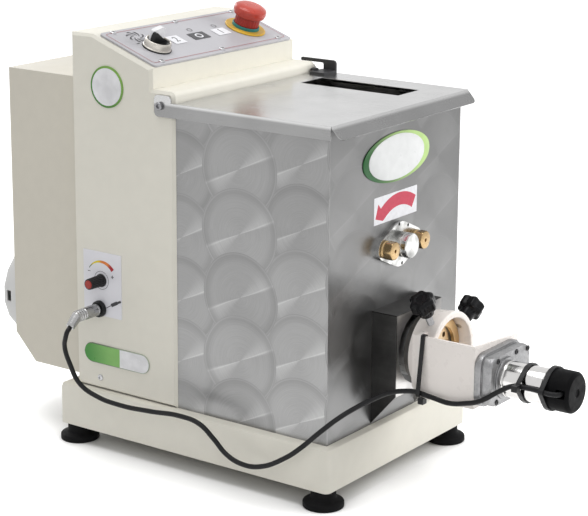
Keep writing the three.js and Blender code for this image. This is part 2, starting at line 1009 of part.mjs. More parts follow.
// Gears. The auger gear sets the phases of all the others.
const augerPhase = 0;
const mixerPhase = meshPhase(Math.PI / 2, augerPhase, augerTeeth, mixerTeeth);
const compoundLine = Math.atan2(compoundZ - augerZ, compoundX);
const stepDownPhase = meshPhase(compoundLine, augerPhase, augerTeeth, stepDownTeeth);
const pinionLine = Math.atan2(motorZ - compoundZ, motorX - compoundX);
const pinionPhase = meshPhase(pinionLine, 0, compoundTeeth, pinionTeeth);
const coarseEnd = coarseStart + coarseFace;
const fineEnd = fineStart + fineFace;
const augerAxis = group(machine, 0, 0, augerZ);
const mixerAxis = group(machine, 0, 0, mixerZ);
const compoundAxis = group(machine, compoundX, 0, compoundZ);
const motorAxis = group(machine, motorX, 0, motorZ);

const shaftFit = bore(driveShaftRadius, seatGap);
piece(
  augerAxis,
  "auger_gear",
  "steel",
  gear(coarseModule, augerTeeth, augerPhase, coarseStart, coarseEnd, shaftFit),
);
piece(
  mixerAxis,
  "mixer_gear",
  "steel",
  gear(coarseModule, mixerTeeth, mixerPhase, coarseStart, coarseEnd, shaftFit),
);

function compoundGear() {
  const small = sweep(
    "y",
    gearOutline(coarseModule, stepDownTeeth, stepDownPhase),
    coarseStart,
    fineStart + gearSpacing,
  );
  const large = sweep("y", gearOutline(fineModule, compoundTeeth, 0), fineStart, fineEnd);
  const shaft = rod("y", compoundShaftRadius, frontPlateStart, shaftEnd);
  return join(small, large, shaft);
}
piece(compoundAxis, "compound_gear", "steel", compoundGear());

function motorPinion() {
  const teeth = sweep("y", gearOutline(fineModule, pinionTeeth, pinionPhase), fineStart, fineEnd);
  const shaft = rod("y", motorShaftRadius, fineStart, fanStart + fanDepth + fanDisc);
  return join(teeth, shaft);
}
piece(motorAxis, "motor_pinion", "steel", motorPinion());

// Motor body: flange, spigot, stator and the bell that carries the cowl
function motorBody() {
  const profile = [
    [0, motorStart - gearPlate],
    [motorSpigotRadius, motorStart - gearPlate],
    [motorSpigotRadius, motorStart],
    [motorFlangeRadius, motorStart],
    [motorFlangeRadius, motorStart + motorFlange],
    [motorRadius, motorStart + motorFlange],
    [motorRadius, motorBack - motorBellLength],
    [cowlRadius - cowlSheet - seatGap, motorBack - motorBellLength],
    [cowlRadius - cowlSheet - seatGap, motorBack],
    [0, motorBack],
  ];
  const through = rod(
    "y",
    bore(motorShaftRadius),
    motorStart - gearPlate - overrun,
    motorBack + overrun,
  );
  return cut(turned("y", profile), through);
}
piece(motorAxis, "drive_motor", "motorGrey", motorBody());

function coolingFan() {
  const fanEnd = fanStart + fanDepth;
  const hub = rod("y", fanHubRadius, fanStart, fanEnd, [0, 0], smallSides);
  const disc = rod("y", fanRadius, fanEnd - fanDisc, fanEnd);
  const blades = Array.from({ length: fanBlades }, (_, i) => {
    const blade = new THREE.BoxGeometry(fanRadius - fanHubRadius / 2, fanDepth, fanBlade);
    blade.translate((fanRadius + fanHubRadius / 2) / 2, fanStart + fanDepth / 2, 0);
    return blade.rotateY((2 * Math.PI * i) / fanBlades);
  });
  const shaftHole = rod("y", bore(motorShaftRadius, seatGap), fanStart - overrun, fanEnd + overrun);
  return cut(join(hub, disc, ...blades), shaftHole);
}
piece(motorAxis, "cooling_fan", "blackPlastic", coolingFan());

function fanCowl() {
  const mouth = motorBack - motorBellLength;
  const shell = (wall, low) =>
    turned("y", [
      [0, low],
      [cowlRadius - wall, low],
      ...quarter(
        [cowlRadius - wall, cowlBack - cowlRound],
        [cowlRadius - cowlRound, cowlBack - wall],
        2,
      ),
      [0, cowlBack - wall],
    ]);
  const slots = Array.from({ length: cowlSlots }, (_, i) => {
    const slot = new THREE.BoxGeometry(2 * cowlRound, cowlSlotWidth, cowlSlotLength);
    slot.translate(cowlRadius, cowlBack - cowlRound - cowlSlotWidth / 2, 0);
    return slot.rotateY((2 * Math.PI * i) / cowlSlots);
  });
  return cut(cut(shell(0, mouth), shell(cowlSheet, mouth - overrun)), ...slots);
}
piece(motorAxis, "fan_cowl", "motorGrey", fanCowl());

// Mains cable gland, empty
function mainsGland() {
  const front = rearBack - sheet - overrun;
  const body = turned(
    "y",
    [
      [glandBore, front - glandLength / 2],
      [glandRadius / 2, front - glandLength / 2],
      [glandRadius / 2, rearBack],
      [glandRadius, rearBack],
      [glandRadius, rearBack + glandLength / 2],
      [glandRadius * glandTipShare, rearBack + glandLength],
      [glandBore, rearBack + glandLength],
      [glandBore, front - glandLength / 2],
    ],
    smallSides,
  );
  return body;
}
piece(group(machine, glandX, 0, glandZ), "mains_gland", "blackPlastic", mainsGland());

// Control board on the inside of the tower's front wall
piece(
  tower,
  "control_board",
  "blackPlastic",
  block(
    boardX - boardWidth / 2,
    boardX + boardWidth / 2,
    sheet + seatGap,
    sheet + seatGap + boardThick,
    boardZ - boardHeight / 2,
    boardZ + boardHeight / 2,
  ),
);

// Mixer shaft with alternating tilted paddles
function mixerShaft() {
  const inside = troughFront - tankSheet - seatGap;
  const back = troughBackGap + tankSheet + seatGap;
  const bar = join(
    rod("y", driveShaftRadius, -back - overrun, shaftEnd, [0, 0], smallSides),
    rod("y", mixerShaftRadius, -inside, -back, [0, 0], smallSides),
    rod(
      "y",
      journalRadius,
      -tankFront - flangeThick - hubLength / 2,
      -inside + overrun,
      [0, 0],
      smallSides,
    ),
  );
  const middle = -(back + inside) / 2;
  const paddles = Array.from({ length: mixerPaddles }, (_, i) => {
    const length = paddleReach - mixerShaftRadius / 2;
    const blade = new THREE.BoxGeometry(paddleWidth, paddleThick, length);
    blade.rotateZ(degrees(i % 2 ? paddleTilt : -paddleTilt));
    blade.translate(0, 0, (paddleReach + mixerShaftRadius / 2) / 2);
    blade.rotateY((i * 2 * Math.PI) / mixerPaddles + (i % 2) * Math.PI);
    return blade.translate(0, middle + (i - (mixerPaddles - 1) / 2) * paddlePitch, 0);
  });
  return join(bar, ...paddles);
}
piece(mixerAxis, "mixer_shaft", "stainless", mixerShaft());

// Front bearing flange of the mixer: two-eared plate, hub and two studs
const flangeEars = [
  [-flangeEarSpread, 0, flangeEarRadius],
  [0, 0, flangeRadius],
  [flangeEarSpread, 0, flangeEarRadius],
];
function bearingFlange() {
  const plate = sweep("y", band(flangeEars, 0, flangeSides), -tankFront - flangeThick, -tankFront);
  const nose = -tankFront - flangeThick - hubLength;
  const grooveAt = nose + hubLength / 2;
  const hub = turned("y", [
    [0, -tankFront - weldDepth],
    [hubRadius, -tankFront - weldDepth],
    [hubRadius, grooveAt + hubGrooveWidth / 2],
    [hubRadius - hubGroove, grooveAt],
    [hubRadius, grooveAt - hubGrooveWidth / 2],
    [hubRadius, nose + hubEdge],
    [hubRadius - hubEdge, nose],
    [0, nose],
  ]);
  const journal = rod(
    "y",
    bore(journalRadius),
    -tankFront - flangeThick - hubLength / 2 - seatGap,
    -tankFront + overrun,
  );
  const studs = [-1, 1].map((side) =>
    rod(
      "y",
      nutStudRadius,
      -tankFront - flangeThick - nutLength + nutHoleDepth + overrun,
      -tankFront - weldDepth,
      [side * flangeEarSpread, 0],
      smallSides,
    ),
  );
  return join(cut(join(plate, hub), journal), ...studs);
}
piece(mixerAxis, "mixer_bearing_flange", "polished", bearingFlange());

function handNut() {
  const back = -tankFront - flangeThick - seatGap;
  const front = back - nutLength;
  const body = turned(
    "y",
    [
      [0, back],
      [nutWasherRadius, back],
      [nutWasherRadius, back - nutWasher],
      [nutRadius, back - nutWasher],
      [nutRadius, front + nutEdge],
      [nutRadius - nutEdge, front],
      [0, front],
    ],
    nutSides,
  );
  const beyondHex = cut(
    rod("y", 2 * nutRadius, front - overrun, back - nutWasher - nutEdge, [0, 0], nutSides),
    rod("y", nutHexRadius, front - 2 * overrun, back, [0, 0], hexSides),
  );
  const threaded = rod(
    "y",
    bore(nutStudRadius, runGap, smallSides),
    front + nutHoleDepth + overrun - seatGap,
    back + overrun,
    [0, 0],
    smallSides,
  );
  const eye = rod("y", nutHoleRadius, front - overrun, front + nutHoleDepth, [0, 0], holeSides);
  return cut(body, beyondHex, threaded, eye);
}
const nutSolid = handNut();
piece(mixerAxis, "hand_nut_left", "brass", nutSolid).position.x = -flangeEarSpread;
piece(mixerAxis, "hand_nut_right", "brass", nutSolid).position.x = flangeEarSpread;

// Tank casing: left wall, front panel and right wall folded from one sheet
const tank = group(machine);

function tankCasing() {
  const skin = sweep("z", rectangle(-tankHalfWidth, tankHalfWidth, -tankFront, 0), baseTop, tankTop);
  const hollow = block(
    -tankHalfWidth + tankSheet,
    tankHalfWidth - tankSheet,
    -tankFront + tankSheet,
    overrun,
    baseTop - overrun,
    tankTop - tankSheet,
  );
  const mouth = block(
    -tankHalfWidth + tankLip,
    tankHalfWidth - tankLip,
    -tankFront + tankLip,
    overrun,
    baseTop,
    tankTop + overrun,
  );
  const through = (radius, z) =>
    rod("y", bore(radius, seatGap), -tankFront - overrun, -tankFront + tankSheet + overrun, [0, z]);
  return cut(
    skin,
    hollow,
    mouth,
    through(journalRadius, mixerZ),
    through(barrelOuter, augerZ),
  );
}
piece(tank, "tank_casing", "stainless", tankCasing());

// Mixing trough: straight walls over a half-elliptical floor with a feed port
const troughTop = tankTop - troughTopGap;

function troughCorners(wall, top) {
  const reach = troughHalfWidth - wall;
  const drop = troughFloorDrop + tankSheet - wall;
  const floor = Array.from({ length: troughSteps + 1 }, (_, i) => {
    const turn = Math.PI + (Math.PI * i) / troughSteps;
    return [reach * Math.cos(turn), mixerZ + drop * Math.sin(turn)];
  });
  return [[-reach, top], ...floor, [reach, top]];
}

function mixingTrough() {
  const body = sweep("y", outline(troughCorners(0, troughTop)), -troughFront, -troughBackGap);
  const rim = block(
    -troughHalfWidth - troughRim,
    troughHalfWidth + troughRim,
    -troughFront,
    -troughBackGap,
    troughTop - tankSheet,
    troughTop,
  );
  const hollow = sweep(
    "y",
    outline(troughCorners(tankSheet, troughTop + overrun)),
    -troughFront + tankSheet,
    -troughBackGap - tankSheet,
  );
  const front = rod(
    "y",
    bore(journalRadius, seatGap),
    -troughFront - overrun,
    -troughFront + tankSheet + overrun,
    [0, mixerZ],
  );
  const back = rod(
    "y",
    bore(driveShaftRadius, seatGap),
    -troughBackGap - tankSheet - overrun,
    -troughBackGap + overrun,
    [0, mixerZ],
  );
  const port = block(
    -feedHalfWidth,
    feedHalfWidth,
    -feedFront,
    -feedBack,
    augerZ,
    mixerZ - troughFloorDrop + 2 * tankSheet,
  );
  return cut(join(body, rim), hollow, front, back, port);
}
piece(tank, "mixing_trough", "stainless", mixingTrough());

// Extruder barrel: tube, flange on the tank's inner face and the neck up to the trough
function extruderBarrel() {
  const neckWall = barrelOuter - barrelInner;
  const neck = cut(
    block(
      -feedHalfWidth - neckWall,
      feedHalfWidth + neckWall,
      -feedFront - neckWall,
      -feedBack + neckWall,
      0,
      mixerZ - augerZ,
    ),
    sweep(
      "y",
      outline(troughCorners(-seatGap, mixerZ)),
      -feedFront - 2 * neckWall,
      -feedBack + 2 * neckWall,
    ).translate(0, 0, -augerZ),
  );
  const flange = rod(
    "y",
    barrelFlangeRadius,
    -tankFront + tankSheet + seatGap,
    -tankFront + tankSheet + seatGap + barrelFlange,
  );
  const tube = rod("y", barrelOuter, -barrelFront, -seatGap);
  const port = block(-feedHalfWidth, feedHalfWidth, -feedFront, -feedBack, 0, mixerZ - augerZ);
  const through = rod("y", barrelInner, -barrelFront - overrun, -seatGap - augerBack / 2);
  const shaftHole = rod("y", bore(driveShaftRadius), -augerBack, overrun);
  return cut(join(tube, flange, neck), through, port, shaftHole);
}
piece(augerAxis, "extruder_barrel", "zinc", extruderBarrel());

// Extruder screw: a helical flight on a core, cut square at both ends
function augerScrew() {
  const from = -augerFront + augerLand;
  const to = -augerBack - augerLand;
  const steps = Math.round(((to - from) / augerPitch) * augerStepsPerTurn);
  const inner = augerCoreRadius - weldDepth;
  const half = augerLand / 2;
  const positions = [];
  for (let i = 0; i <= steps; i++) {
    const along = from + ((to - from) * i) / steps;
    const turn = (2 * Math.PI * (along - from)) / augerPitch;
    const [cos, sin] = [Math.cos(turn), Math.sin(turn)];
    for (const [radius, shift] of [
      [inner, -half],
      [augerRadius, -half * augerCrestShare],
      [augerRadius, half * augerCrestShare],
      [inner, half],
    ]) {
      positions.push(radius * cos, along + shift, radius * sin);
    }
  }
  const corners = 4;
  const faces = [0, 1, 2, 0, 2, 3];
  for (let i = 0; i < steps; i++) {
    for (let j = 0; j < corners; j++) {
      const a = i * corners + j;
      const b = i * corners + ((j + 1) % corners);
      faces.push(a, a + corners, b, b, a + corners, b + corners);
    }
  }
  const last = steps * corners;
  faces.push(last, last + 2, last + 1, last, last + 3, last + 2);
  const flight = new THREE.BufferGeometry();
  flight.setAttribute("position", new THREE.Float32BufferAttribute(positions, 3));
  flight.setIndex(faces);
  const core = rod("y", augerCoreRadius, -augerFront, -augerBack, [0, 0], smallSides);
  const shaft = rod("y", driveShaftRadius, -augerBack - weldDepth, shaftEnd);
  return join(core, flight, shaft);
}
piece(augerAxis, "auger_screw", "stainless", augerScrew());

// Die with its ring of pasta holes and the centre boss the knife sweeps round
function dieDisc() {
  const disc = rod("y", dieRadius, -dieFront, -dieBack);
  const holes = Array.from({ length: dieHoles }, (_, i) => {
    const turn = (2 * Math.PI * i) / dieHoles;
    const place = [dieHoleCircle * Math.cos(turn), dieHoleCircle * Math.sin(turn)];
    return rod("y", dieHoleRadius, -dieFront - overrun, -dieBack + overrun, place, holeSides);
  });
  return cut(disc, ...holes);
}
piece(augerAxis, "pasta_die", "bronze", dieDisc());

function ringNut() {
  const lip = turned("y", [
    [ringNutOpening, -ringNutFront],
    [ringNutRadius - collarEdge, -ringNutFront],
    [ringNutRadius, -ringNutFront + collarEdge],
    [ringNutRadius, -ringNutBack],
    [bore(barrelOuter, seatGap), -ringNutBack],
    [bore(barrelOuter, seatGap), -dieBack],
    [bore(dieRadius, seatGap), -dieBack],
    [bore(dieRadius, seatGap), -dieFront - seatGap],
    [ringNutOpening, -dieFront - seatGap],
    [ringNutOpening, -ringNutFront],
  ]);
  return lip;
}
piece(augerAxis, "ring_nut", "bronze", ringNut());

// Outlet guard: a stainless hood with a round opening and a fastening ear
function outletGuard() {
  const corners = (back) => [
    [-back, guardTop],
    [-guardFront, guardTop],
    [-guardFront, guardFaceBottom],
    [-back, guardWallBottom],
  ];
  const skin = sweep("x", outline(corners(tankFront)), -guardHalfWidth, guardHalfWidth);
  const inner = [
    [-tankFront + overrun, guardTop - guardSheet],
    [-guardFront + guardSheet, guardTop - guardSheet],
    [-guardFront + guardSheet, guardWallBottom - guardFront],
    [-tankFront + overrun, guardWallBottom - guardFront],
  ];
  const hollow = sweep(
    "x",
    outline(inner),
    -guardHalfWidth + guardSheet,
    guardHalfWidth - guardSheet,
  );
  const opening = rod(
    "y",
    guardOpening,
    -guardFront - overrun,
    -guardFront + guardSheet + overrun,
    [0, augerZ],
  );
  return cut(skin, hollow, opening);
}
piece(tank, "outlet_guard", "stainless", outletGuard());

// Lid, hung on its two ears; its group is the pivot
const lidPivot = group(machine, 0, lidPivotY, lidPivotZ);

function lidSolid() {
  const plate = sweep(
    "z",
    withHoles(
      rectangle(-lidHalfWidth, lidHalfWidth, -lidFront, -lidRearGap),
      rectangle(lidSlotLeft, lidSlotRight, -lidSlotFront, -lidSlotBack),
    ),
    lidTop - lidSheet,
    lidTop,
  );
  const skirt = outline([
    [-lidFront, lidTop],
    [-lidFront, lidTop - lidSkirt],
    [earBack, lidPivotZ - earHalfHeight, earRound],
    [earBack, lidPivotZ + earHalfHeight, earRound],
    [earFront, lidPivotZ + earHalfHeight, earRound],
    [earFront, lidTop],
  ]);
  const sides = [-lidHalfWidth, lidHalfWidth - lidSheet].map((left) =>
    cut(
      sweep("x", skirt, left, left + lidSheet),
      rod(
        "x",
        bore(hingeScrewRadius, runGap, smallSides),
        left - overrun,
        left + lidSheet + overrun,
        [lidPivotY, lidPivotZ],
        smallSides,
      ),
    ),
  );
  const slant = Math.hypot(lidFlareOut, lidFlareDown);
  const flare = new THREE.ExtrudeGeometry(
    outline([
      [-lidHalfWidth + lidSheet, 0],
      [lidHalfWidth - lidSheet, 0],
      [lidHalfWidth - lidSheet, slant, lidFlareRound],
      [-lidHalfWidth + lidSheet, slant, lidFlareRound],
    ]),
    { depth: lidSheet, bevelEnabled: false, curveSegments: 3 },
  );
  const [out, down] = [lidFlareOut / slant, lidFlareDown / slant];
  const lie = new THREE.Matrix4().makeBasis(
    new THREE.Vector3(1, 0, 0),
    new THREE.Vector3(0, -out, -down),
    new THREE.Vector3(0, down, -out),
  );
  flare.applyMatrix4(lie);
  flare.translate(0, -lidFront, lidTop);
  return join(plate, ...sides, flare);
}
piece(lidPivot, "lid", "stainless", moved(lidSolid(), 0, -lidPivotY, -lidPivotZ));

// Hinge screws: thread in the tower wall, shoulder beside it, shank in the ear
function hingeScrew() {
  const earInner = lidHalfWidth - lidSheet;
  return turned(
    "x",
    [
      [0, towerHalfWidth - sheet - hingeScrewLength],
      [hingeScrewRadius, towerHalfWidth - sheet - hingeScrewLength],
      [hingeScrewRadius, towerHalfWidth],
      [hingeHeadRadius * hingeSpacerShare, towerHalfWidth],
      [hingeHeadRadius * hingeSpacerShare, earInner - seatGap],
      [hingeScrewRadius, earInner - seatGap],
      [hingeScrewRadius, lidHalfWidth + seatGap],
      [hingeHeadRadius, lidHalfWidth + seatGap],
      ...quarter(
        [hingeHeadRadius, lidHalfWidth + seatGap + hingeHead / 3],
        [0, lidHalfWidth + seatGap + hingeHead],
        2,
      ),
    ],
    smallSides,
  );
}
const hinges = group(machine, 0, lidPivotY, lidPivotZ);
const screwSolid = hingeScrew();
piece(hinges, "hinge_screw_right", "zinc", screwSolid);
piece(hinges, "hinge_screw_left", "zinc", screwSolid).rotation.y = Math.PI;

// Interlock bracket on the lid: foot plate, upright web and arm over the step
function interlockBracket() {
  const outer = lidHalfWidth + interlockSheet / 2;
  const inner = outer - interlockSheet;
  const web = sweep(
    "x",
    outline([
      [-interlockPlateFront, lidTop],
      [-interlockWebBack, lidTop],
      [-interlockWebBack, lidTop + interlockRise - interlockArm, interlockArm / 2],
      [interlockArmBack, lidTop + interlockRise - interlockArm, interlockArm / 3],
      [interlockArmBack, lidTop + interlockRise, interlockArm / 3],
      [-interlockPlateFront, lidTop + interlockRise, interlockRound],
    ]),
    inner,
    outer,
    0,
    3,
  );
  const plate = sweep(
    "z",
    rectangle(
      lidHalfWidth - interlockPlateWidth,
      lidHalfWidth,
      -interlockPlateFront,
      -interlockPlateBack,
    ),
    lidTop,
    lidTop + interlockSheet,
  );
  return join(web, plate);
}
piece(
  lidPivot,
  "interlock_bracket",
  "blackPaint",
  moved(interlockBracket(), 0, -lidPivotY, -lidPivotZ),
);

// Magnetic interlock switch, inside the step under the bracket's arm
piece(
  tower,
  "interlock_switch",
  "blackPlastic",
  block(
    towerHalfWidth - sheet - seatGap - switchWidth,
    towerHalfWidth - sheet - seatGap,
    stepEdge + sheet,
    stepEdge + sheet + switchLength,
    stepTop - 2 * sheet - seatGap - switchHeight,
    stepTop - 2 * sheet - seatGap,
  ),
);

// Cutter collar, clamped on the ring nut, with a flat for the bracket and a tie groove
function cutterCollar() {
  const ring = turned("y", [
    [collarBore, -collarFront],
    [collarRadius - collarEdge, -collarFront],
    [collarRadius, -collarFront + collarEdge],
    [collarBackRadius, -collarBack],
    [collarBore, -collarBack],
    [collarBore, -collarFront],
  ], collarSides);
  const flat = block(
    -2 * collarRadius,
    -bracketInner + seatGap,
    -2 * collarFront,
    0,
    -collarRadius,
    collarRadius,
  );
  const groove = block(
    -2 * collarRadius,
    -bracketInner + tieThick + 2 * seatGap,
    -bracketTiePlane - tieWidth / 2 - seatGap,
    -bracketTiePlane + tieWidth / 2 + seatGap,
    -collarRadius,
    collarRadius,
  );
  const studHoles = knobAngles.map((angle) =>
    rod(
      "x",
      bore(knobStudRadius, runGap, smallSides),
      collarBore - overrun,
      collarRadius + overrun,
      [0, 0],
      smallSides,
    ).transform(knobPlace(angle).toArray()),
  );
  return cut(ring, flat, groove, ...studHoles);
}
const cutter = group(machine);

// Where a clamp knob's axis lies: along +X before it is turned about the extruder axis
function knobPlace(angle) {
  return new THREE.Matrix4().makeRotationY(-degrees(angle)).setPosition(0, -knobPlane, 0);
}
piece(augerAxis, "cutter_collar", "white", cutterCollar());

function clampKnob(studShow) {
  const lobes = knobLobeSteps * knobLobes;
  const rim = Array.from({ length: lobes }, (_, i) => {
    const turn = (2 * Math.PI * i) / lobes;
    const radius = knobRadius * (1 - knobLobeDepthShare * (1 - Math.cos(knobLobes * turn)));
    return new THREE.Vector2(radius * Math.cos(turn), radius * Math.sin(turn));
  });
  const coneStart = collarRadius + studShow;
  const headStart = coneStart + knobConeLength;
  const head = sweep("x", new THREE.Shape(rim), headStart, headStart + knobHead, knobEdge);
  const cone = rod(
    "x",
    knobConeRadius,
    coneStart,
    headStart + weldDepth,
    [0, 0],
    smallSides,
    knobRadius * (1 - 2 * knobLobeDepthShare) - knobEdge,
  );
  const stud = rod(
    "x",
    knobStudRadius,
    ringNutRadius + seatGap,
    coneStart + weldDepth,
    [0, 0],
    smallSides,
  );
  return join(head, cone, stud);
}
["clamp_knob_left", "clamp_knob_right"].forEach((name, i) => {
  const mesh = piece(augerAxis, name, "blackPlastic", clampKnob(knobStudShows[i]));
  mesh.position.y = -knobPlane;
  mesh.rotation.y = -degrees(knobAngles[i]);
});

// Bracket: a side plate from the collar and a front plate across the outlet
function cutterBracket() {
  const side = sweep(
    "x",
    outline([
      [-bracketBack, bracketTop],
      [-bracketFront, bracketTop],
      [-bracketFront, bracketBottom],
      [-bracketBack, bracketBottom, bracketRound],
    ]),
    -bracketOuter,
    -bracketInner,
  );
  const front = sweep(
    "y",
    outline([
      [-bracketOuter, bracketTop],
      [bracketRight, bracketTopRight],
      [bracketRight, bracketBottom, bracketRound / 2],
      [-bracketOuter, bracketBottom, bracketSheet],
    ]),
    -bracketFront,
    -bracketFront + bracketSheet,
  );
  const shaftHole = rod(
    "y",
    2 * knifeShaftRadius,
    -bracketFront - overrun,
    -bracketFront + bracketSheet + overrun,
    [0, augerZ],
    motorSides,
  );
  return cut(join(side, front), shaftHole);
}
piece(cutter, "cutter_bracket", "white", cutterBracket());

function cutterGearbox() {
  const face = (margin, radius) =>
    rectangle(
      gearboxLeft + margin,
      gearboxRight - margin,
      gearboxBottom + margin,
      gearboxTop - margin,
      radius,
    );
  const back = sweep(
    "y",
    face(0, gearboxCorner),
    -gearboxBack - gearboxBackDepth,
    -gearboxBack,
  );
  const front = sweep(
    "y",
    face(gearboxFaceInset / 2, gearboxCorner - gearboxFaceInset / 2),
    -gearboxFront,
    -gearboxBack - weldDepth,
    gearboxFaceInset,
  );
  const boss = rod(
    "y",
    canBossRadius,
    -motorSeat,
    -gearboxFront + weldDepth,
    [cutterMotorX, cutterMotorZ],
  );
  const output = rod(
    "y",
    bore(knifeShaftRadius, runGap, motorSides),
    -gearboxFront + 2 * canBoss - seatGap,
    -gearboxBack + overrun,
    [0, augerZ],
    motorSides,
  );
  return cut(join(back, front, boss), output);
}
piece(cutter, "cutter_gearbox", "zinc", cutterGearbox());

piece(
  cutter,
  "cutter_motor_can",
  "polished",
  rod("y", canRadius, -capBack, -motorSeat, [cutterMotorX, cutterMotorZ], motorSides),
);

// End cap of the cutter motor with its dimple and the recess that the cable enters
const capEntryZ = 136.5;
function motorCap() {
  const front = -capBack - capLength;
  const profile = [
    [0, -capBack],
    [capRadius, -capBack],
    [capRadius, front + capEdge],
    [capRadius - capEdge, front],
    [capDimpleRadius, front],
    [capDimpleRadius / 2, front + capDimple],
    [0, front + capDimple],
  ];
  const recess = block(
    cutterMotorX - 2 * capRadius,
    cutterMotorX - capRadius + capSlotDepth,
    front + capEdge,
    front + capEdge + capSlotLength,
    capEntryZ - capSlotHalf,
    capEntryZ + capSlotHalf,
  );
  const body = turned("y", profile, motorSides).translate(cutterMotorX, 0, cutterMotorZ);
  return cut(body, recess);
}
piece(cutter, "cutter_motor_cap", "blackPlastic", motorCap());

// Knife: two swept blades on a hub, on the gearbox's output shaft
function cutterKnife() {
  const back = -dieFront - knifeGap;
  const shaft = rod(
    "y",
    knifeShaftRadius,
    -gearboxFront + 2 * canBoss,
    back,
    [0, 0],
    motorSides,
  );
  const hub = rod("y", knifeHubRadius, back - knifeHub, back, [0, 0], smallSides);
  const blade = sweep(
    "y",
    outline([
      [0, -knifeWidth / 2],
      [knifeReach - knifeWidth, -knifeWidth / 2],
      [knifeReach, knifeWidth / 4],
      [knifeReach - knifeThick, knifeWidth / 2],
      [0, knifeWidth / 2],
      [-knifeReach + knifeWidth, knifeWidth / 2],
      [-knifeReach, -knifeWidth / 4],
      [-knifeReach + knifeThick, -knifeWidth / 2],
    ]),
    back - knifeThick,
    back,
  );
  return join(shaft, hub, blade);
}
piece(augerAxis, "cutter_knife", "stainless", cutterKnife());

// Console plate
function consolePlateSolid() {
  const plate = sweep(
    "z",
    rectangle(-consoleHalfWidth, consoleHalfWidth, 0, consoleLength, consoleCorner),
    seatGap,
    seatGap + consolePlate,
  );
  const holes = [
    [selectorX, selectorUp],
    [stopX, stopUp],
  ].map((place) => rod("z", bore(selectorHoleRadius, 0), -overrun, consolePlate + overrun, place));
  return cut(plate, ...holes);
}
piece(consoleFrame, "console_panel", "consoleGrey", consolePlateSolid());

// Rotary selector: bezel with a neck through the panel, turning knob and switch block
const panelTop = seatGap + consolePlate + seatGap;
const neckEnd = -sheet - 4 * bezelBase;
const neckRadius = selectorHoleRadius - seatGap;
const selectorAxis = group(consoleFrame, selectorX, selectorUp, 0);

function selectorBezel() {
  return turned("z", [
    [bore(stemRadius), neckEnd],
    [neckRadius, neckEnd],
    [neckRadius, panelTop],
    [bezelRadius, panelTop],
    [bezelRadius, panelTop + bezelBase],
    [bezelTopRadius, panelTop + bezelHeight - bezelBase / 2],
    [bezelTopRadius - bezelWall / 2, panelTop + bezelHeight],
    [bezelTopRadius - bezelWall, panelTop + bezelHeight - bezelBase / 2],
    [bezelTopRadius - bezelWall, panelTop + bezelHeight / 2],
    [bore(stemRadius), panelTop + bezelHeight / 2],
    [bore(stemRadius), neckEnd],
  ]);
}
piece(selectorAxis, "selector_bezel", "nickel", selectorBezel());

function selectorKnob() {
  const seat = panelTop + bezelHeight / 2 + seatGap;
  const discRadius = bezelTopRadius - bezelWall - seatGap;
  const top = panelTop + bezelHeight - bezelBase;
  const disc = turned("z", [
    [0, seat],
    [discRadius, seat],
    [discRadius, top],
    [discRadius - bezelWall / 2, top],
    [0, top - selectorDishDepth / 2],
  ]);
  const stem = rod("z", stemRadius, neckEnd - overrun, seat + weldDepth);
  const half = discRadius - seatGap;
  const grip = new THREE.Shape();
  grip.moveTo(-half, seat);
  grip.lineTo(half, seat);
  grip.lineTo(half, top);
  grip.quadraticCurveTo(half, seat + selectorGripHeight, 0, seat + selectorGripHeight);
  grip.quadraticCurveTo(-half, seat + selectorGripHeight, -half, top);
  const handle = sweep("y", grip, -selectorGripWidth / 2, selectorGripWidth / 2, 0, 3);
  return join(disc, stem, handle);
}
piece(selectorAxis, "selector_knob", "blackPlastic", selectorKnob());

function switchBody(shaft) {
  const top = neckEnd - seatGap;
  const body = new THREE.BoxGeometry(switchBlock, switchBlock, switchBlockDepth);
  body.translate(0, 0, top - switchBlockDepth / 2);
  const well = rod("z", bore(shaft), top - 3 * overrun, top + overrun);
  return cut(body, well);
}
piece(selectorAxis, "selector_switch", "blackPlastic", switchBody(stemRadius));

// Emergency stop: legend ring, collar, sliding plunger and twisting head
const stopAxis = group(consoleFrame, stopX, stopUp, 0);
piece(
  stopAxis,
  "stop_legend_ring",
  "yellow",
  cut(
    turned("z", [
      [0, panelTop],
      [stopRingRadius, panelTop],
      [stopRingRadius, panelTop + stopRing / 2],
      [stopRingRadius - stopRing, panelTop + stopRing],
      [0, panelTop + stopRing],
    ]),
    rod("z", bore(stopCollarRadius, seatGap), panelTop - overrun, panelTop + stopRing + overrun),
  ),
);

function stopCollarSolid() {
  return turned("z", [
    [bore(stopPlungerRadius), neckEnd],
    [neckRadius, neckEnd],
    [neckRadius, panelTop],
    [stopCollarRadius, panelTop],
    [stopCollarRadius, panelTop + stopCollar],
    [bore(stopStemRadius), panelTop + stopCollar],
    [bore(stopStemRadius), panelTop + seatGap],
    [bore(stopPlungerRadius), panelTop + seatGap],
    [bore(stopPlungerRadius), neckEnd],
  ]);
}
piece(stopAxis, "stop_collar", "blackPlastic", stopCollarSolid());

const stemBottom = panelTop + stopTravel + 2 * seatGap;
const stemTop = panelTop + stopCollar + stopStemLength - stopCollar / 2;
function stopPlunger() {
  const stem = rod("z", stopStemRadius, stemBottom, stemTop);
  const shaft = rod("z", stopPlungerRadius, neckEnd - seatGap, stemBottom + weldDepth);
  const spigot = rod("z", stopPlungerRadius, stemTop - weldDepth, stemTop + stopHead / 2);
  return join(stem, shaft, spigot);
}
piece(stopAxis, "stop_plunger", "red", stopPlunger());

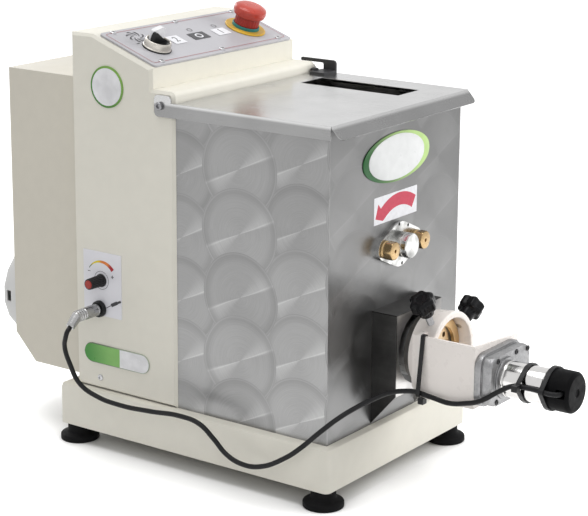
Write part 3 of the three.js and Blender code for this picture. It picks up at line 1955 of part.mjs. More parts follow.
function stopHeadSolid() {
  const low = stemTop + seatGap;
  const profile = [
    [0, low],
    [stopStemRadius, low],
    [stopHeadRadius - stopRing, low + stopRing],
    [stopHeadRadius, low + stopHeadEdge],
    ...quarter(
      [stopHeadRadius, low + stopHead - stopHeadEdge],
      [stopHeadRadius - stopHeadEdge, low + stopHead],
      2,
    ),
    [stopHeadRadius / 2, low + stopHead + stopRing],
    [0, low + stopHead + stopCrown],
  ];
  const well = rod("z", bore(stopPlungerRadius), low - overrun, low + stopHead / 2 + seatGap);
  return cut(turned("z", profile, headSides), well);
}
piece(stopAxis, "stop_head", "red", stopHeadSolid());

function stopSwitch() {
  const deepest = neckEnd - seatGap - stopTravel - 3 * overrun;
  const well = rod("z", bore(stopPlungerRadius), deepest, neckEnd);
  return cut(switchBody(stopPlungerRadius), well);
}
piece(stopAxis, "stop_switch", "blackPlastic", stopSwitch());

// Speed control on the left wall
const controls = group(machine);

function speedPlateSolid() {
  const left = -towerHalfWidth - speedPlate;
  const plate = sweep(
    "x",
    rectangle(speedPlateFront, speedPlateBack, speedPlateBottom, speedPlateTop),
    left,
    -towerHalfWidth,
  );
  const holes = controlHolePlaces.map(([radius, place]) =>
    rod("x", radius, left - overrun, left + speedPlate + overrun, place, smallSides),
  );
  return cut(plate, ...holes);
}
piece(controls, "speed_plate", "labelWhite", speedPlateSolid());

function speedKnob() {
  const seat = -sideFace - seatGap;
  const tip = seat - speedKnobLength;
  const fluteCircle = speedKnobRadius * speedFluteCircleShare;
  const flutes = Array.from({ length: speedKnobFlutes }, (_, i) => {
    const turn = (2 * Math.PI * i) / speedKnobFlutes;
    return rod(
      "x",
      speedKnobRadius * speedFluteShare,
      tip + speedKnobSkirt,
      seat - speedKnobSkirt,
      [fluteCircle * Math.cos(turn), fluteCircle * Math.sin(turn)],
      speedFluteSides,
    );
  });
  const body = turned(
    "x",
    [
      [0, seat],
      [speedKnobBase, seat],
      [speedKnobBase, seat - speedKnobRim],
      [speedKnobRadius, seat - speedKnobSkirt],
      [speedKnobRadius * speedKnobTaperShare, tip + speedKnobEdge],
      [speedKnobRadius * speedKnobTipShare, tip],
      [0, tip],
    ],
    footSides,
  );
  const shaft = rod(
    "x",
    potShaftRadius,
    seat - weldDepth,
    -towerHalfWidth + sheet + potDepth / 2,
    [0, 0],
    smallSides,
  );
  return join(cut(body, ...flutes), shaft);
}
const speedKnobMesh = piece(controls, "speed_knob", "blackPlastic", speedKnob());
speedKnobMesh.position.set(0, speedY, speedKnobZ);

function speedPot() {
  const start = -towerHalfWidth + sheet + seatGap;
  const place = [speedY, speedKnobZ];
  const body = rod("x", potRadius, start, start + potDepth, place, smallSides);
  const well = rod(
    "x",
    bore(potShaftRadius, runGap, smallSides),
    start - overrun,
    start + potDepth / 2 + seatGap,
    place,
    smallSides,
  );
  return cut(body, well);
}
piece(controls, "speed_potentiometer", "blackPlastic", speedPot());

function cableSocket() {
  const outer = -sideFace - seatGap;
  return turned("x", [
    [socketBore, outer - socketRing],
    [socketRadius - socketEdge, outer - socketRing],
    [socketRadius, outer - socketRing + socketEdge],
    [socketRadius, outer],
    [socketBodyRadius, outer],
    [socketBodyRadius, outer + socketDepth],
    [socketBore, outer + socketDepth],
    [socketBore, outer - socketRing],
  ], smallSides).translate(0, socketY, socketZ);
}
piece(controls, "cable_socket", "blackPlastic", cableSocket());

// Plug: barrel, knurl rings and a tapered elbow that the cable leaves
const plugSeat = -sideFace - 2 * seatGap - socketRing;
const kneeX = plugSeat - plugBarrel - plugKnurls * plugKnurlPitch;
const elbowWay = new THREE.Vector3(
  -Math.cos(degrees(plugElbowAngle)),
  0,
  -Math.sin(degrees(plugElbowAngle)),
);

function cablePlug() {
  const rings = Array.from({ length: plugKnurls }, (_, i) => {
    const at = plugSeat - plugBarrel - i * plugKnurlPitch;
    return [
      [plugRadius * plugKnurlRootShare, at - plugKnurlPitch * plugKnurlWalkShares[0]],
      [plugRadius * plugKnurlCrestShare, at - plugKnurlPitch * plugKnurlWalkShares[1]],
    ];
  }).flat();
  const barrel = turned(
    "x",
    [
      [0, plugSeat],
      [plugRadius - plugEdge, plugSeat],
      [plugRadius, plugSeat - plugEdge],
      [plugRadius, plugSeat - plugBarrel],
      ...rings,
      [0, kneeX - weldDepth],
    ],
    smallSides,
  );
  const kneeRadius = plugRadius * plugKneeShare;
  const knee = new THREE.SphereGeometry(kneeRadius, smallSides, smallSides / 2);
  knee.translate(kneeX, 0, 0);
  const tail = new THREE.CylinderGeometry(plugTailRadius, kneeRadius, plugElbow, smallSides);
  tail.translate(0, plugElbow / 2, 0);
  const turn = new THREE.Quaternion().setFromUnitVectors(new THREE.Vector3(0, 1, 0), elbowWay);
  tail.applyQuaternion(turn).translate(kneeX, 0, 0);
  const pinEnd = plugSeat + socketDepth / 2;
  const pin = rod("x", plugPin, plugSeat - weldDepth, pinEnd, [0, 0], smallSides);
  return join(barrel, knee, tail, pin).translate(0, socketY, socketZ);
}
piece(controls, "cable_plug", "polished", cablePlug());

// Cutter cable, from the plug round the front corner to the cutter motor's cap
const cableStart = Array.from({ length: cableLeadPoints }, (_, step) =>
  new THREE.Vector3(kneeX, socketY, socketZ)
    .addScaledVector(elbowWay, plugElbow + seatGap + step * cableRadius)
    .toArray(),
);
const cableRoute = [
  ...cableStart,
  [-175.2, 102.8, 134],
  [-173, 106.3, 124],
  [-170, 101.8, 104],
  [-166, 92.5, 84],
  [-161, 74, 72.8],
  [-157, 46, 68],
  [-154, 9, 68.5],
  [-152, -29.5, 71],
  [-152, -54, 68],
  [-152, -71.8, 56.4],
  [-152.5, -88, 44],
  [-153, -107, 38.4],
  [-152.7, -130.5, 40.8],
  [-149, -158, 55],
  [-145, -174, 68],
  [-137, -190.4, 85],
  [-124, -204, 99],
  [-108, -211.8, 106],
  [-92, -218, 110.3],
  [-69, -226, 113.6],
  [-55, -234.5, 113.2],
  [-48.8, -241.5, 112.4],
  [-47.4, -259, 110.2],
  [-48.6, -282, 108.8],
  [-49, -299, 112.4],
  [-48.6, -315.3, 118],
  [-41.4, -334.5, 131],
  [-36.6, -341.6, 134.8],
  [-35.1, -349, 136],
  [-35.1, -358, 136.3],
  [-35.5, -366, 136.5],
  [-37.9, -380, 136.5],
  [-37.6, -387, 136.5],
  [-35.2, -391.8, 136.5],
  [-30.6, -393.4, 136.5],
  [-25.8, -393.4, 136.5],
].map((point) => new THREE.Vector3(...point));
const cableCurve = new THREE.CatmullRomCurve3(cableRoute, false, "centripetal");
const cableSteps = Math.round(cableCurve.getLength() / (2 * cableRadius * cableStepShare));

function cableTube() {
  const section = new THREE.Shape(
    Array.from({ length: cableSides }, (_, i) => {
      const turn = (2 * Math.PI * (i + 0.5)) / cableSides;
      return new THREE.Vector2(cableRadius * Math.cos(turn), cableRadius * Math.sin(turn));
    }),
  );
  return new THREE.ExtrudeGeometry(section, { steps: cableSteps, extrudePath: cableCurve });
}
piece(machine, "cutter_cable", "rubber", cableTube());

// The cable's centre where it crosses a plane in front of the tower
function cableAt(plane) {
  const points = cableCurve.getPoints(cableSamples * cableRoute.length);
  const outside = -bracketOuter - 4 * cableRadius;
  const after = points.findIndex((point) => point.y < -plane && point.x > outside);
  return points[after];
}

function tie(circles, plane, headAt) {
  const loop = sweep(
    "y",
    withHoles(band(circles, seatGap + tieThick, tieSides), band(circles, seatGap, tieSides)),
    -plane - tieWidth / 2,
    -plane + tieWidth / 2,
  );
  const [x, z] = headAt;
  const head = block(
    x - tieHead / 2,
    x + tieHead / 2,
    -plane - tieHeadHeight / 2,
    -plane + tieHeadHeight / 2,
    z - tieHeadHeight / 2,
    z + tieHeadHeight / 2,
  );
  return join(loop, head);
}

const bracketTieCable = cableAt(bracketTiePlane);
piece(
  cutter,
  "tie_bracket",
  "blackPlastic",
  tie(
    [
      [-bracketOuter, bracketTop, 0],
      [-bracketInner, bracketTop, 0],
      [-bracketInner, bracketBottom, 0],
      [-bracketOuter, bracketBottom, 0],
      [bracketTieCable.x, bracketTieCable.z, cableRadius + 2 * seatGap],
    ],
    bracketTiePlane,
    [-bracketOuter, bracketBottom - tieHeadHeight / 2],
  ),
);
canTiePlanes.forEach((plane, i) => {
  const at = cableAt(plane);
  piece(
    cutter,
    i ? "tie_motor_cap" : "tie_motor_can",
    "blackPlastic",
    tie(
      [
        [cutterMotorX, cutterMotorZ, canRadius],
        [at.x, at.z, cableRadius + 3 * seatGap],
      ],
      plane,
      [at.x - cableRadius - 3 * seatGap - tieHead / 2, at.z],
    ),
  );
});

// The origin is the middle of the footprint of everything but the cable and what is on it
const left = -sideFace - seatGap - speedKnobLength;
const right = baseWidth / 2 - footInset + footRadius;
const front = -capBack - capLength;
const back = cowlBack;
machine.position.set(-(left + right) / 2, -(front + back) / 2, 0);

const pastaMaker = new THREE.Group();
pastaMaker.name = "electric_pasta_maker";
pastaMaker.add(machine);

export default pastaMaker;
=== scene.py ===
"""Looks of a bench-top electric pasta maker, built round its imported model.

Shapes are written in millimetres in the machine's own frame: x to the operator's right, y to the back,
z up, with the tower's front wall at y = 0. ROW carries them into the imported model's frame, in metres.
"""

import json
import math

import bmesh
import bpy
from mathutils import Matrix, Vector
from mathutils.geometry import convex_hull_2d


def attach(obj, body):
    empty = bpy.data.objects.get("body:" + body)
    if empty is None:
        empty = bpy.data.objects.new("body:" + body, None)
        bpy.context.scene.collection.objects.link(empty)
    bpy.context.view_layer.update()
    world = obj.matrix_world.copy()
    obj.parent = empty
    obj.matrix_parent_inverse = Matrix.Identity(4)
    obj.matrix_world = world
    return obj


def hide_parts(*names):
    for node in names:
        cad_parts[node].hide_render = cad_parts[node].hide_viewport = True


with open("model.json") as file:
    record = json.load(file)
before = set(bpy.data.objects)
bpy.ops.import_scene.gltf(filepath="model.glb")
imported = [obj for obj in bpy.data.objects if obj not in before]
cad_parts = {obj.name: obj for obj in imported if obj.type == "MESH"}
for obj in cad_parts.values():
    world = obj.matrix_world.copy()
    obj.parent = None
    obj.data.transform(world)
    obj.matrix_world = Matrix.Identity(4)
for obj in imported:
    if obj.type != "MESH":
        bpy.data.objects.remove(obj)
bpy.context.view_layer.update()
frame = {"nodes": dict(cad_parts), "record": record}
scene = bpy.context.scene

# Units and places
MM = 0.001
MACHINE_ORIGIN = Vector((4.3, 69.5, 0.0))
ROW = Matrix.Scale(MM, 4) @ Matrix.Translation(MACHINE_ORIGIN)
PRINT = 0.08
LIFT = 0.02
GAP = 0.3
BADGE_RIM = 1.0
BADGE_FACE = 1.35
CRISP_ANGLE = math.radians(35)
NODE_CRISP_ANGLE = math.radians(32)
WHITE = (1, 1, 1, 1)
TINY = 1e-6

# The photograph's camera
IMAGE_WIDTH = 588
FOCAL_PIXELS = 1927.7
HORIZON_PIXELS = 58
SENSOR = 36.0
CAMERA_PLACE = Vector((-1576.4, -1192.23, 736.22))
CAMERA_RIGHT = Vector((0.58464, -0.81127, 0.00587))
CAMERA_UP = Vector((0.18614, 0.14118, 0.97233))
LAMP_AIM = Vector((0.0, 0.05, 0.25))

# Machine
TOWER_HALF_WIDTH = 122.0
TANK_HALF_WIDTH = 119.0
TANK_FRONT = 186.0
LID_TOP = 383.0
FOOT_X = 115.0
FOOT_PLACES = {
    "foot_front_left": (-FOOT_X, -180.0),
    "foot_front_right": (FOOT_X, -180.0),
    "foot_rear_left": (-FOOT_X, 140.0),
    "foot_rear_right": (FOOT_X, 140.0),
}
AUGER_Z = 142.0
MIXER_Z = 244.0
CONSOLE_TILT = math.atan2(27.4, 78.0)
CONSOLE_FOOT = Vector((0.0, 29.0, 414.6))
PANEL_TOP = 2.6
SELECTOR = (-77.8, 31.5)
STOP = (78.5, 37.5)
SPEED = (98.5, 184.5)
SOCKET = (101.0, 153.5)
SIDE_FACE = 123.0
HINGE = (TOWER_HALF_WIDTH, 15.5, 379.0)
SIDE_SCREW = (103.0, 77.0)
INTERLOCK_SCREW = (114.0, -4.1, 385.4)
CUTTER_MOTOR = (-14.0, 134.0)
GEARBOX_BACK = 305.0
CAP_BACK = 373.0
KNOB_ANGLES = {"clamp_knob_left": 124.0, "clamp_knob_right": 31.0}
KNOB_PLANE = 243.0
GUARD_HALF_WIDTH = 42.0
GUARD_TOP = 183.0
RING_NUT_FRONT = -242.0
COLLAR_RADIUS = 42.2
COLLAR_BACK_RADIUS = 39.6
KNOB_STARTS = {"clamp_knob_left": 55.7, "clamp_knob_right": 48.2}

# Small screws and holes: across and up on the console, x and z on the gearbox, from the axis on the flange
CONSOLE_SCREWS = [(-99, 6), (0, 6), (98, 6), (-98, 74.4), (1, 74.4), (99, 74.4)]
GEARBOX_SCREWS = [(-29, 154), (6.3, 155), (-30, 113), (29, 153)]
FLANGE_HOLES = [(-2.7, 21.0), (13.7, 16.9), (3.6, -20.5)]

# Cutter cable
CABLE_DIAMETER = 5.0
CABLE_ROUTE = [
    (-170.25, 101.0, 144.31), (-172.17, 101.0, 142.7), (-174.09, 101.0, 141.09),
    (-175.2, 102.8, 134.0), (-173.0, 106.3, 124.0), (-170.0, 101.8, 104.0),
    (-166.0, 92.5, 84.0), (-161.0, 74.0, 72.8), (-157.0, 46.0, 68.0),
    (-154.0, 9.0, 68.5), (-152.0, -29.5, 71.0), (-152.0, -54.0, 68.0),
    (-152.0, -71.8, 56.4), (-152.5, -88.0, 44.0), (-153.0, -107.0, 38.4),
    (-152.7, -130.5, 40.8), (-149.0, -158.0, 55.0), (-145.0, -174.0, 68.0),
    (-137.0, -190.4, 85.0), (-124.0, -204.0, 99.0), (-108.0, -211.8, 106.0),
    (-92.0, -218.0, 110.3), (-69.0, -226.0, 113.6), (-55.0, -234.5, 113.2),
    (-48.8, -241.5, 112.4), (-47.4, -259.0, 110.2), (-48.6, -282.0, 108.8),
    (-49.0, -299.0, 112.4), (-48.6, -315.3, 118.0), (-41.4, -334.5, 131.0),
    (-36.6, -341.6, 134.8), (-35.1, -349.0, 136.0), (-35.1, -358.0, 136.3),
    (-35.5, -366.0, 136.5), (-37.9, -380.0, 136.5), (-37.6, -387.0, 136.5),
    (-35.2, -391.8, 136.5), (-30.6, -393.4, 136.5), (-25.8, -393.4, 136.5),
]


def local_frame(origin, x_axis, z_axis):
    """A place whose local Z and X lie along the given axes of the machine."""
    z = Vector(z_axis).normalized()
    x = Vector(x_axis).normalized()
    place = Matrix((x, z.cross(x), z)).transposed().to_4x4()
    place.translation = Vector(origin)
    return place


def front(x, y, z):
    """Local Z comes out of the machine's front, local X runs to the right and local Y up."""
    return local_frame((x, y, z), (1, 0, 0), (0, -1, 0))


def left(y, z, x=-TOWER_HALF_WIDTH):
    """Local Z comes out of the machine's left wall, local X runs to the front and local Y up."""
    return local_frame((x, y, z), (0, -1, 0), (-1, 0, 0))


def console(across=0.0, up=0.0, lift=0.0):
    """Local Z comes out of the sloping console, local Y runs up the slope."""
    slope = Vector((0.0, math.cos(CONSOLE_TILT), math.sin(CONSOLE_TILT)))
    normal = Vector((0.0, -math.sin(CONSOLE_TILT), math.cos(CONSOLE_TILT)))
    origin = CONSOLE_FOOT + Vector((across, 0, 0)) + slope * up + normal * lift
    return local_frame(origin, (1, 0, 0), normal)


# Camera, floor and light


def add_camera():
    data = bpy.data.cameras.new("camera")
    data.sensor_width = SENSOR
    data.lens = SENSOR * FOCAL_PIXELS / IMAGE_WIDTH
    data.shift_y = -HORIZON_PIXELS / IMAGE_WIDTH
    data.clip_end = 50.0
    camera = bpy.data.objects.new("camera", data)
    back = CAMERA_RIGHT.cross(CAMERA_UP)
    turn = Matrix((CAMERA_RIGHT, CAMERA_UP, back)).transposed().to_4x4()
    turn.translation = (CAMERA_PLACE + MACHINE_ORIGIN) * MM
    camera.matrix_world = turn
    scene.collection.objects.link(camera)
    scene.camera = camera


def feed(tree, socket, value):
    """Links an output to a socket, or sets the socket to a plain value."""
    if isinstance(value, bpy.types.NodeSocket):
        tree.links.new(value, socket)
    else:
        socket.default_value = value


def add_node(tree, kind, values=None, **settings):
    """A shader node with its settings, and with its inputs fed by name or number."""
    made = tree.nodes.new("ShaderNode" + kind)
    for key, value in settings.items():
        setattr(made, key, value)
    for socket, value in (values or {}).items():
        feed(tree, made.inputs[socket], value)
    return made


def seen_directly(tree):
    """One where the camera, a mirror or a clear body shows a surface, zero for the light it gives."""
    rays = add_node(tree, "LightPath").outputs
    shown = rays["Is Camera Ray"]
    for ray in ("Is Glossy Ray", "Is Transmission Ray"):
        shown = add_node(tree, "Math", {0: shown, 1: rays[ray]}, operation="MAXIMUM").outputs[0]
    return shown


def add_floor():
    """A pale floor that shows white where it is open and keeps the machine's shadow."""
    floor_half = 6.0
    open_reach = 0.12
    mesh = bpy.data.meshes.new("floor")
    corners = [(-1, -1, 0), (1, -1, 0), (1, 1, 0), (-1, 1, 0)]
    mesh.from_pydata([Vector(c) * floor_half for c in corners], [], [(0, 1, 2, 3)])
    floor = bpy.data.objects.new("floor", mesh)
    material = bpy.data.materials.new("floor")
    material.use_nodes = True
    tree = material.node_tree
    openness = add_node(tree, "AmbientOcclusion", {"Distance": open_reach}).outputs["AO"]
    limits = {"Value": openness, "From Min": 0.3, "From Max": 0.9, "To Min": 0.0, "To Max": 0.7}
    glow = add_node(tree, "MapRange", limits, interpolation_type="SMOOTHSTEP").outputs[0]
    shown = add_node(tree, "Math", {0: glow, 1: seen_directly(tree)}, operation="MULTIPLY")
    settings = {
        "Base Color": (0.80, 0.80, 0.795, 1),
        "Roughness": 0.6,
        "Specular IOR Level": 0.2,
        "Emission Color": WHITE,
        "Emission Strength": shown.outputs[0],
    }
    for socket, value in settings.items():
        feed(tree, tree.nodes["Principled BSDF"].inputs[socket], value)
    mesh.materials.append(material)
    scene.collection.objects.link(floor)


def add_lamp(name, place, size, level, mirrored=True):
    """An area lamp that adds the given share of plain light to a surface that faces it."""
    data = bpy.data.lights.new(name, "AREA")
    data.shape = "DISK"
    data.size = size
    way = LAMP_AIM - Vector(place)
    data.energy = level * math.pi ** 2 * way.length_squared
    lamp = bpy.data.objects.new(name, data)
    lamp.location = place
    lamp.rotation_euler = way.to_track_quat("-Z", "Y").to_euler()
    lamp.visible_camera = False
    lamp.visible_glossy = mirrored
    scene.collection.objects.link(lamp)


def light_scene():
    soft_level = 0.40
    world = bpy.data.worlds.new("studio")
    scene.world = world
    world.use_nodes = True
    tree = world.node_tree
    soft = tree.nodes["Background"]
    feed(tree, soft.inputs["Color"], WHITE)
    feed(tree, soft.inputs["Strength"], soft_level)
    white = add_node(tree, "Background", {"Color": WHITE})
    sources = {0: seen_directly(tree), 1: soft.outputs[0], 2: white.outputs[0]}
    shown = add_node(tree, "MixShader", sources).outputs[0]
    feed(tree, tree.nodes["World Output"].inputs["Surface"], shown)
    add_lamp("key", (0.7, -0.85, 0.75), size=0.8, level=0.60, mirrored=False)
    add_lamp("top", (-0.3, 0.2, 2.4), size=1.6, level=0.43)
    add_lamp("side", (-1.6, -0.9, 1.2), size=1.0, level=0.14, mirrored=False)
    add_lamp("back", (0.8, 2.1, 1.4), size=1.4, level=0.3)
    scene.view_settings.view_transform = "Standard"


# Materials

# Width of brushing, and how far it is drawn out along x, y and z
STREAK = 0.4
LEVEL_BRUSHING = (150, 150, 0.8)
LENGTH_BRUSHING = (1, 150, 1)

# How clouds of noise are cut, and where an edge counts as worn
CLOUD_DETAIL = 3.0
CLOUD_SPAN = (0.25, 0.75)
PATCH_SIZE = 9.0
PATCH_SPAN = (0.35, 0.65)
BEND_SPAN = (0.02, 0.16)
BEVEL_SAMPLES = 4
WORN_LIFT = 0.02

# Finishes by short name, filled once by main
LOOK = {}


class Finish:
    """A node material that is worked out from places in the machine's frame, in millimetres."""

    def __init__(self, name, slot, color, roughness, metallic=0.0, **fixed):
        self.slot = slot
        self.material = bpy.data.materials.new(name)
        self.material.use_nodes = True
        self.material.diffuse_color = (*color, 1)
        self.tree = self.material.node_tree
        self.shader = self.tree.nodes["Principled BSDF"]
        self.shader.inputs["Metallic"].default_value = metallic
        for socket, value in fixed.items():
            self.shader.inputs[socket.replace("_", " ")].default_value = value
        place = self.node("TexCoord").outputs["Object"]
        place = self.vector("MULTIPLY", place, (1 / MM,) * 3)
        self.place = self.vector("SUBTRACT", place, tuple(MACHINE_ORIGIN))
        self.color = (*color, 1)
        self.roughness = roughness
        self.heights = []

    def node(self, kind, values=None, **settings):
        return add_node(self.tree, kind, values, **settings)

    def math(self, operation, *values, clamped=False):
        made = self.node("Math", dict(enumerate(values)), operation=operation, use_clamp=clamped)
        return made.outputs[0]

    def plus(self, a, b):
        return self.math("ADD", a, b)

    def minus(self, a, b):
        return self.math("SUBTRACT", a, b)

    def times(self, a, b):
        return self.math("MULTIPLY", a, b)

    def vector(self, operation, *values):
        made = self.node("VectorMath", dict(enumerate(values)), operation=operation)
        scalar = operation in ("LENGTH", "DISTANCE", "DOT_PRODUCT")
        return made.outputs["Value" if scalar else "Vector"]

    def split(self, vector):
        return self.node("SeparateXYZ", {0: vector}).outputs

    def joined(self, x, y, z):
        return self.node("CombineXYZ", {0: x, 1: y, 2: z}).outputs[0]

    def span(self, value, low, high, to_low=0.0, to_high=1.0):
        """A smooth step from to_low, at value low, to to_high, at value high."""
        values = {"Value": value, "From Min": low, "From Max": high, "To Min": to_low, "To Max": to_high}
        return self.node("MapRange", values, interpolation_type="SMOOTHSTEP").outputs[0]

    def noise(self, size, detail=2.0, stretch=(1, 1, 1), rough=0.5, at=None):
        """A noise whose blobs measure size millimetres, drawn out along an axis by stretch."""
        scaled = self.vector("DIVIDE", self.place if at is None else at, tuple(size * s for s in stretch))
        values = {"Vector": scaled, "Scale": 1.0, "Detail": detail, "Roughness": rough}
        return self.node("TexNoise", values).outputs[0]

    def blend(self, share, a, b, kind="MIX"):
        made = self.node("MixRGB", {0: share, 1: a, 2: b}, blend_type=kind)
        return made.outputs[0]

    def tint(self, share, color):
        """Lays a colour over what is there, where share is over zero."""
        self.color = self.blend(share, self.color, (*color, 1))

    def shade(self, factor):
        """Multiplies the colour by a factor."""
        grey = self.node("CombineColor", {0: factor, 1: factor, 2: factor}).outputs[0]
        self.color = self.blend(1.0, self.color, grey, "MULTIPLY")

    def mottle(self, size, share, **options):
        """Cloudy variation of the colour by the given share each way."""
        cloud = self.noise(size, CLOUD_DETAIL, **options)
        self.shade(self.span(cloud, *CLOUD_SPAN, 1 - share, 1 + share))

    def uneven(self, size, share, **options):
        """Cloudy variation of the roughness by the given amount each way."""
        cloud = self.noise(size, CLOUD_DETAIL, **options)
        change = self.span(cloud, *CLOUD_SPAN, -share, share)
        self.roughness = self.math("ADD", self.roughness, change, clamped=True)

    def grain(self, size, height, **options):
        """Relief of the given height, in millimetres."""
        self.heights.append((self.noise(size, **options), height))

    def brushed(self, width, share, stretch):
        """Streaks in colour, roughness and relief, drawn out along x, y and z by stretch."""
        self.mottle(width, share, stretch=stretch)
        self.uneven(width, share=0.05, stretch=stretch)
        self.grain(width, height=0.01, stretch=stretch)

    def softened(self, radius):
        """The surface's direction, with edges rounded by a radius in millimetres."""
        return self.node("Bevel", {0: radius * MM}, samples=BEVEL_SAMPLES).outputs[0]

    def worn(self, radius, share, color):
        """Edges whose paint or plating has rubbed thin, by the given share."""
        flat = self.node("NewGeometry").outputs["Normal"]
        bend = self.minus(1.0, self.vector("DOT_PRODUCT", self.softened(radius), flat))
        patches = self.span(self.noise(PATCH_SIZE), *PATCH_SPAN)
        edge = self.times(self.span(bend, *BEND_SPAN), patches)
        self.tint(self.times(edge, share), color)

    def done(self, edge_radius=0.0):
        feed(self.tree, self.shader.inputs["Base Color"], self.color)
        feed(self.tree, self.shader.inputs["Roughness"], self.roughness)
        normal = self.softened(edge_radius) if edge_radius else None
        for height, size in self.heights:
            values = {"Strength": 1.0, "Distance": size * MM, "Height": height}
            if normal is not None:
                values["Normal"] = normal
            normal = self.node("Bump", values).outputs[0]
        if normal is not None:
            feed(self.tree, self.shader.inputs["Normal"], normal)
        return self


def cream_paint(name, color):
    """Cream powder coat with faint orange peel."""
    paint = Finish(name, "cream", color, roughness=0.42, Specular_IOR_Level=0.45)
    paint.mottle(size=160.0, share=0.02)
    paint.mottle(size=14.0, share=0.012)
    paint.uneven(size=40.0, share=0.06)
    paint.grain(size=1.6, height=0.03)
    paint.grain(size=30.0, height=0.12)
    paint.worn(radius=1.6, share=0.35, color=(0.86, 0.84, 0.78))
    return paint.done(edge_radius=0.6)


def white_enamel():
    """Gloss white enamel, a little thin at its edges."""
    paint = Finish("white_enamel", "white", (0.93, 0.875, 0.83), roughness=0.3, Coat_Weight=0.2)
    paint.mottle(size=40.0, share=0.025)
    paint.uneven(size=12.0, share=0.06)
    paint.grain(size=2.2, height=0.03)
    paint.worn(radius=1.0, share=0.3, color=(0.72, 0.66, 0.58))
    return paint.done(edge_radius=0.5)


def moulded(name, slot, color, roughness, spark=0.35):
    """Moulded plastic or rubber with a fine eroded grain and rubbed edges."""
    plastic = Finish(name, slot, color, roughness, Specular_IOR_Level=spark)
    plastic.mottle(size=18.0, share=0.12)
    plastic.uneven(size=6.0, share=0.08)
    plastic.grain(size=0.35, height=0.03)
    plastic.worn(radius=0.8, share=0.4, color=tuple(min(1.0, 1.7 * c + WORN_LIFT) for c in color))
    return plastic.done(edge_radius=0.4)


def sheet_metal(name, slot, color, roughness):
    """Sheet with level brushing."""
    metal = Finish(name, slot, color, roughness, metallic=1.0, Anisotropic=0.4)
    metal.mottle(size=70.0, share=0.06)
    metal.brushed(STREAK, 0.07, LEVEL_BRUSHING)
    metal.uneven(size=45.0, share=0.05)
    return metal.done(edge_radius=0.5)


def polished(name, slot, color, roughness, relief=0.004):
    """Polished or plated metal with fine hairlines and handling marks."""
    metal = Finish(name, slot, color, roughness, metallic=1.0)
    metal.mottle(size=22.0, share=0.05)
    metal.uneven(size=9.0, share=0.05)
    metal.uneven(size=1.2, share=0.03, stretch=(6, 1, 1))
    metal.grain(size=0.6, height=relief, stretch=(4, 1, 1))
    metal.worn(radius=0.6, share=0.3, color=tuple(0.8 * c for c in color))
    return metal.done(edge_radius=0.3)


def cast_metal():
    """Shot-blasted cast alloy."""
    metal = Finish("cast_alloy", "zinc", (0.31, 0.31, 0.315), roughness=0.42, metallic=1.0)
    metal.mottle(size=16.0, share=0.12)
    metal.mottle(size=1.4, share=0.10)
    metal.uneven(size=3.0, share=0.10)
    metal.grain(size=0.9, height=0.10)
    metal.grain(size=3.0, height=0.08)
    metal.worn(radius=1.0, share=0.5, color=(0.62, 0.62, 0.62))
    return metal.done(edge_radius=0.6)


